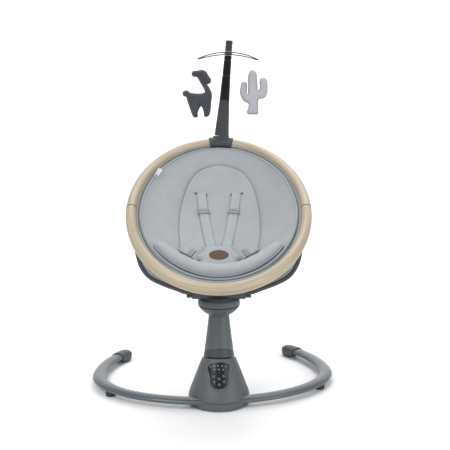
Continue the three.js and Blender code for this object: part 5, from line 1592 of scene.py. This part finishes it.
# ---------------------------------------------------------------- hanging toys
LLAMA_OUTLINE = curve([
    (-14, -3.5), (-4, -2), (3, -1.5), (12, -6), (17, -15), (23, -23), (23, -32), (17, -36), (11, -34.5),
    (17, -42), (24, -55), (26, -66), (24, -82), (22, -105), (17, -117), (7, -118), (6, -108), (1, -94),
    (-3, -93), (-7, -99), (-11, -110), (-10, -118), (-17, -121), (-23, -116), (-30, -97), (-36, -79),
    (-39, -69), (-46, -66), (-48, -58), (-42, -53), (-35, -54), (-31, -58), (-22, -60), (-5, -61),
    (7, -58.5), (8, -52), (3, -42), (-3, -32), (-8, -23), (-13, -17.5), (-20, -17.5), (-25, -11), (-21, -4)],
    220, closed=True)
CACTUS_OUTLINE = curve([
    (-3, -1), (-10, -2), (-14, -10), (-15, -19), (-15, -36), (-15.5, -58), (-18, -61), (-19.5, -55),
    (-18.6, -40), (-19.5, -32.5), (-25, -29.5), (-31, -31.6), (-34, -42), (-36, -55), (-33, -66),
    (-28, -75), (-19.5, -81), (-14, -84), (-13.5, -92), (-17, -109), (-2, -111), (10, -109.5), (10, -92),
    (11.7, -74), (24, -70), (31.6, -62), (34, -44.6), (32.5, -27), (28, -21), (21.6, -20), (16, -23),
    (14.3, -31.6), (16, -42), (13, -49), (8.7, -51), (8.2, -40), (6.5, -18.6), (4.3, -6.5)],
    220, closed=True)


def stuffed(name, outline, full, finish, body, place, replaced):
    """A stuffed flat shape: its outline filled, remeshed, and pushed out either way.

    The push is full times the root of 1 − (1 − d)², d being the distance from the edge over its reach.
    """
    count = len(outline)
    flat = np.concatenate([outline[:, :1], np.zeros((count, 1)), outline[:, 1:]], -1)
    points = np.vstack([flat - (0, 2, 0), flat + (0, 2, 0)])
    faces = [list(range(count))[::-1], list(range(count, 2 * count))]
    faces += [[k, (k + 1) % count, count + (k + 1) % count, count + k] for k in range(count)]
    mesh = bpy.data.meshes.new(name + "_blank")
    mesh.from_pydata(points.tolist(), [], faces)
    made = remeshed(mesh, TOY_VOXEL)
    co = read_vectors(made.vertices)
    plane = co[:, [0, 2]]
    depth = distance_to(plane, outline) * within(plane, outline)
    push = full * np.sqrt(np.maximum(1 - (1 - np.clip(depth / TOY_EDGE_REACH, 0, 1)) ** 2, 0))
    puckers = 0.35 * np.sin(plane[:, 0] / 3.1) * np.sin(plane[:, 1] / 4.3)
    fullness = push + puckers * np.clip(depth / 4, 0, 1)
    co[:, 1] = np.sign(co[:, 1]) * np.maximum(fullness, np.abs(co[:, 1]) * 0.2)
    guide = made.attributes.new("guide", "FLOAT_VECTOR", "POINT")
    guide.data.foreach_set("vector", (co[:, [0, 2, 1]] * MM).ravel())
    co[:, 2] -= STRING_LENGTH
    made.vertices.foreach_set("co", ((co @ place[0].T + place[1]) * MM).ravel())
    made.update()
    made.name = name
    made.shade_smooth()
    toy = settle(bpy.data.objects.new(name, made), finish, body, replaced)
    relax = toy.modifiers.new("relax", "SMOOTH")
    relax.factor = 0.5
    relax.iterations = 6
    return toy


def toy_frame(side):
    """Upright frame where a toy's string is tied to the bar."""
    u = side * TOY_SPAN
    return inside(MAST, turn("y", -MAST_LEAN), (u, bar_y, float(bar_height(u)) - BAR_WIRE / 2 - GAP))


def hang(name, side, outline, full, finish, edge_finish, slot):
    """A stuffed toy, the piping along its edge, and the twisted string that holds it."""
    place = toy_frame(side)
    stuffed(f"stuffed_{name}", outline, full, finish, name, place, [name])
    edge = np.stack([outline[:, 0], np.zeros(len(outline)), outline[:, 1] - STRING_LENGTH], -1)
    piping = looped(edge, PIPING_RADIUS, 8)
    Mould(place).skin(piping, ring=True).cast(f"{name}_piping", edge_finish, name, slot)
    z = np.linspace(0, -STRING_LENGTH - 3, 90)
    strands = Mould(place)
    for phase in (0, math.pi):
        turns = phase - z * 1.1
        line = np.stack([0.55 * np.cos(turns), 0.55 * np.sin(turns), z], -1)
        rows, guide = tube_along(line, 0.6, 8, (0, 1, 0))
        strands.skin(rows, guide)
    strands.cast(f"{name}_string", THREAD, name, slot)


hang("llama", -1, LLAMA_OUTLINE, TOY_THICKNESS / 2, FELT, FELT, "toy_felt")
hang("cactus", 1, CACTUS_OUTLINE, TOY_THICKNESS / 2 - 0.5, SATIN, TOY_PIPING, "toy_satin")

# ---------------------------------------------------------------- CAD nodes that stay
KEPT_NODES = {
    "grip_ring": FOOT_RUBBER, "circuit_board": CIRCUIT, "bearing_housing": DARK_PLASTIC,
    "upper_bush": BUSH_BRASS, "lower_bush": BUSH_BRASS, "gear_motor": DRIVE_STEEL, "crank_disc": DRIVE_STEEL,
    "sway_post": DRIVE_STEEL, "harness_buckle": DARK_PLASTIC, "buckle_button": SATIN_BLACK,
}
for name, finish in KEPT_NODES.items():
    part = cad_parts[name]
    part.data.materials.clear()
    part.data.materials.append(finish)
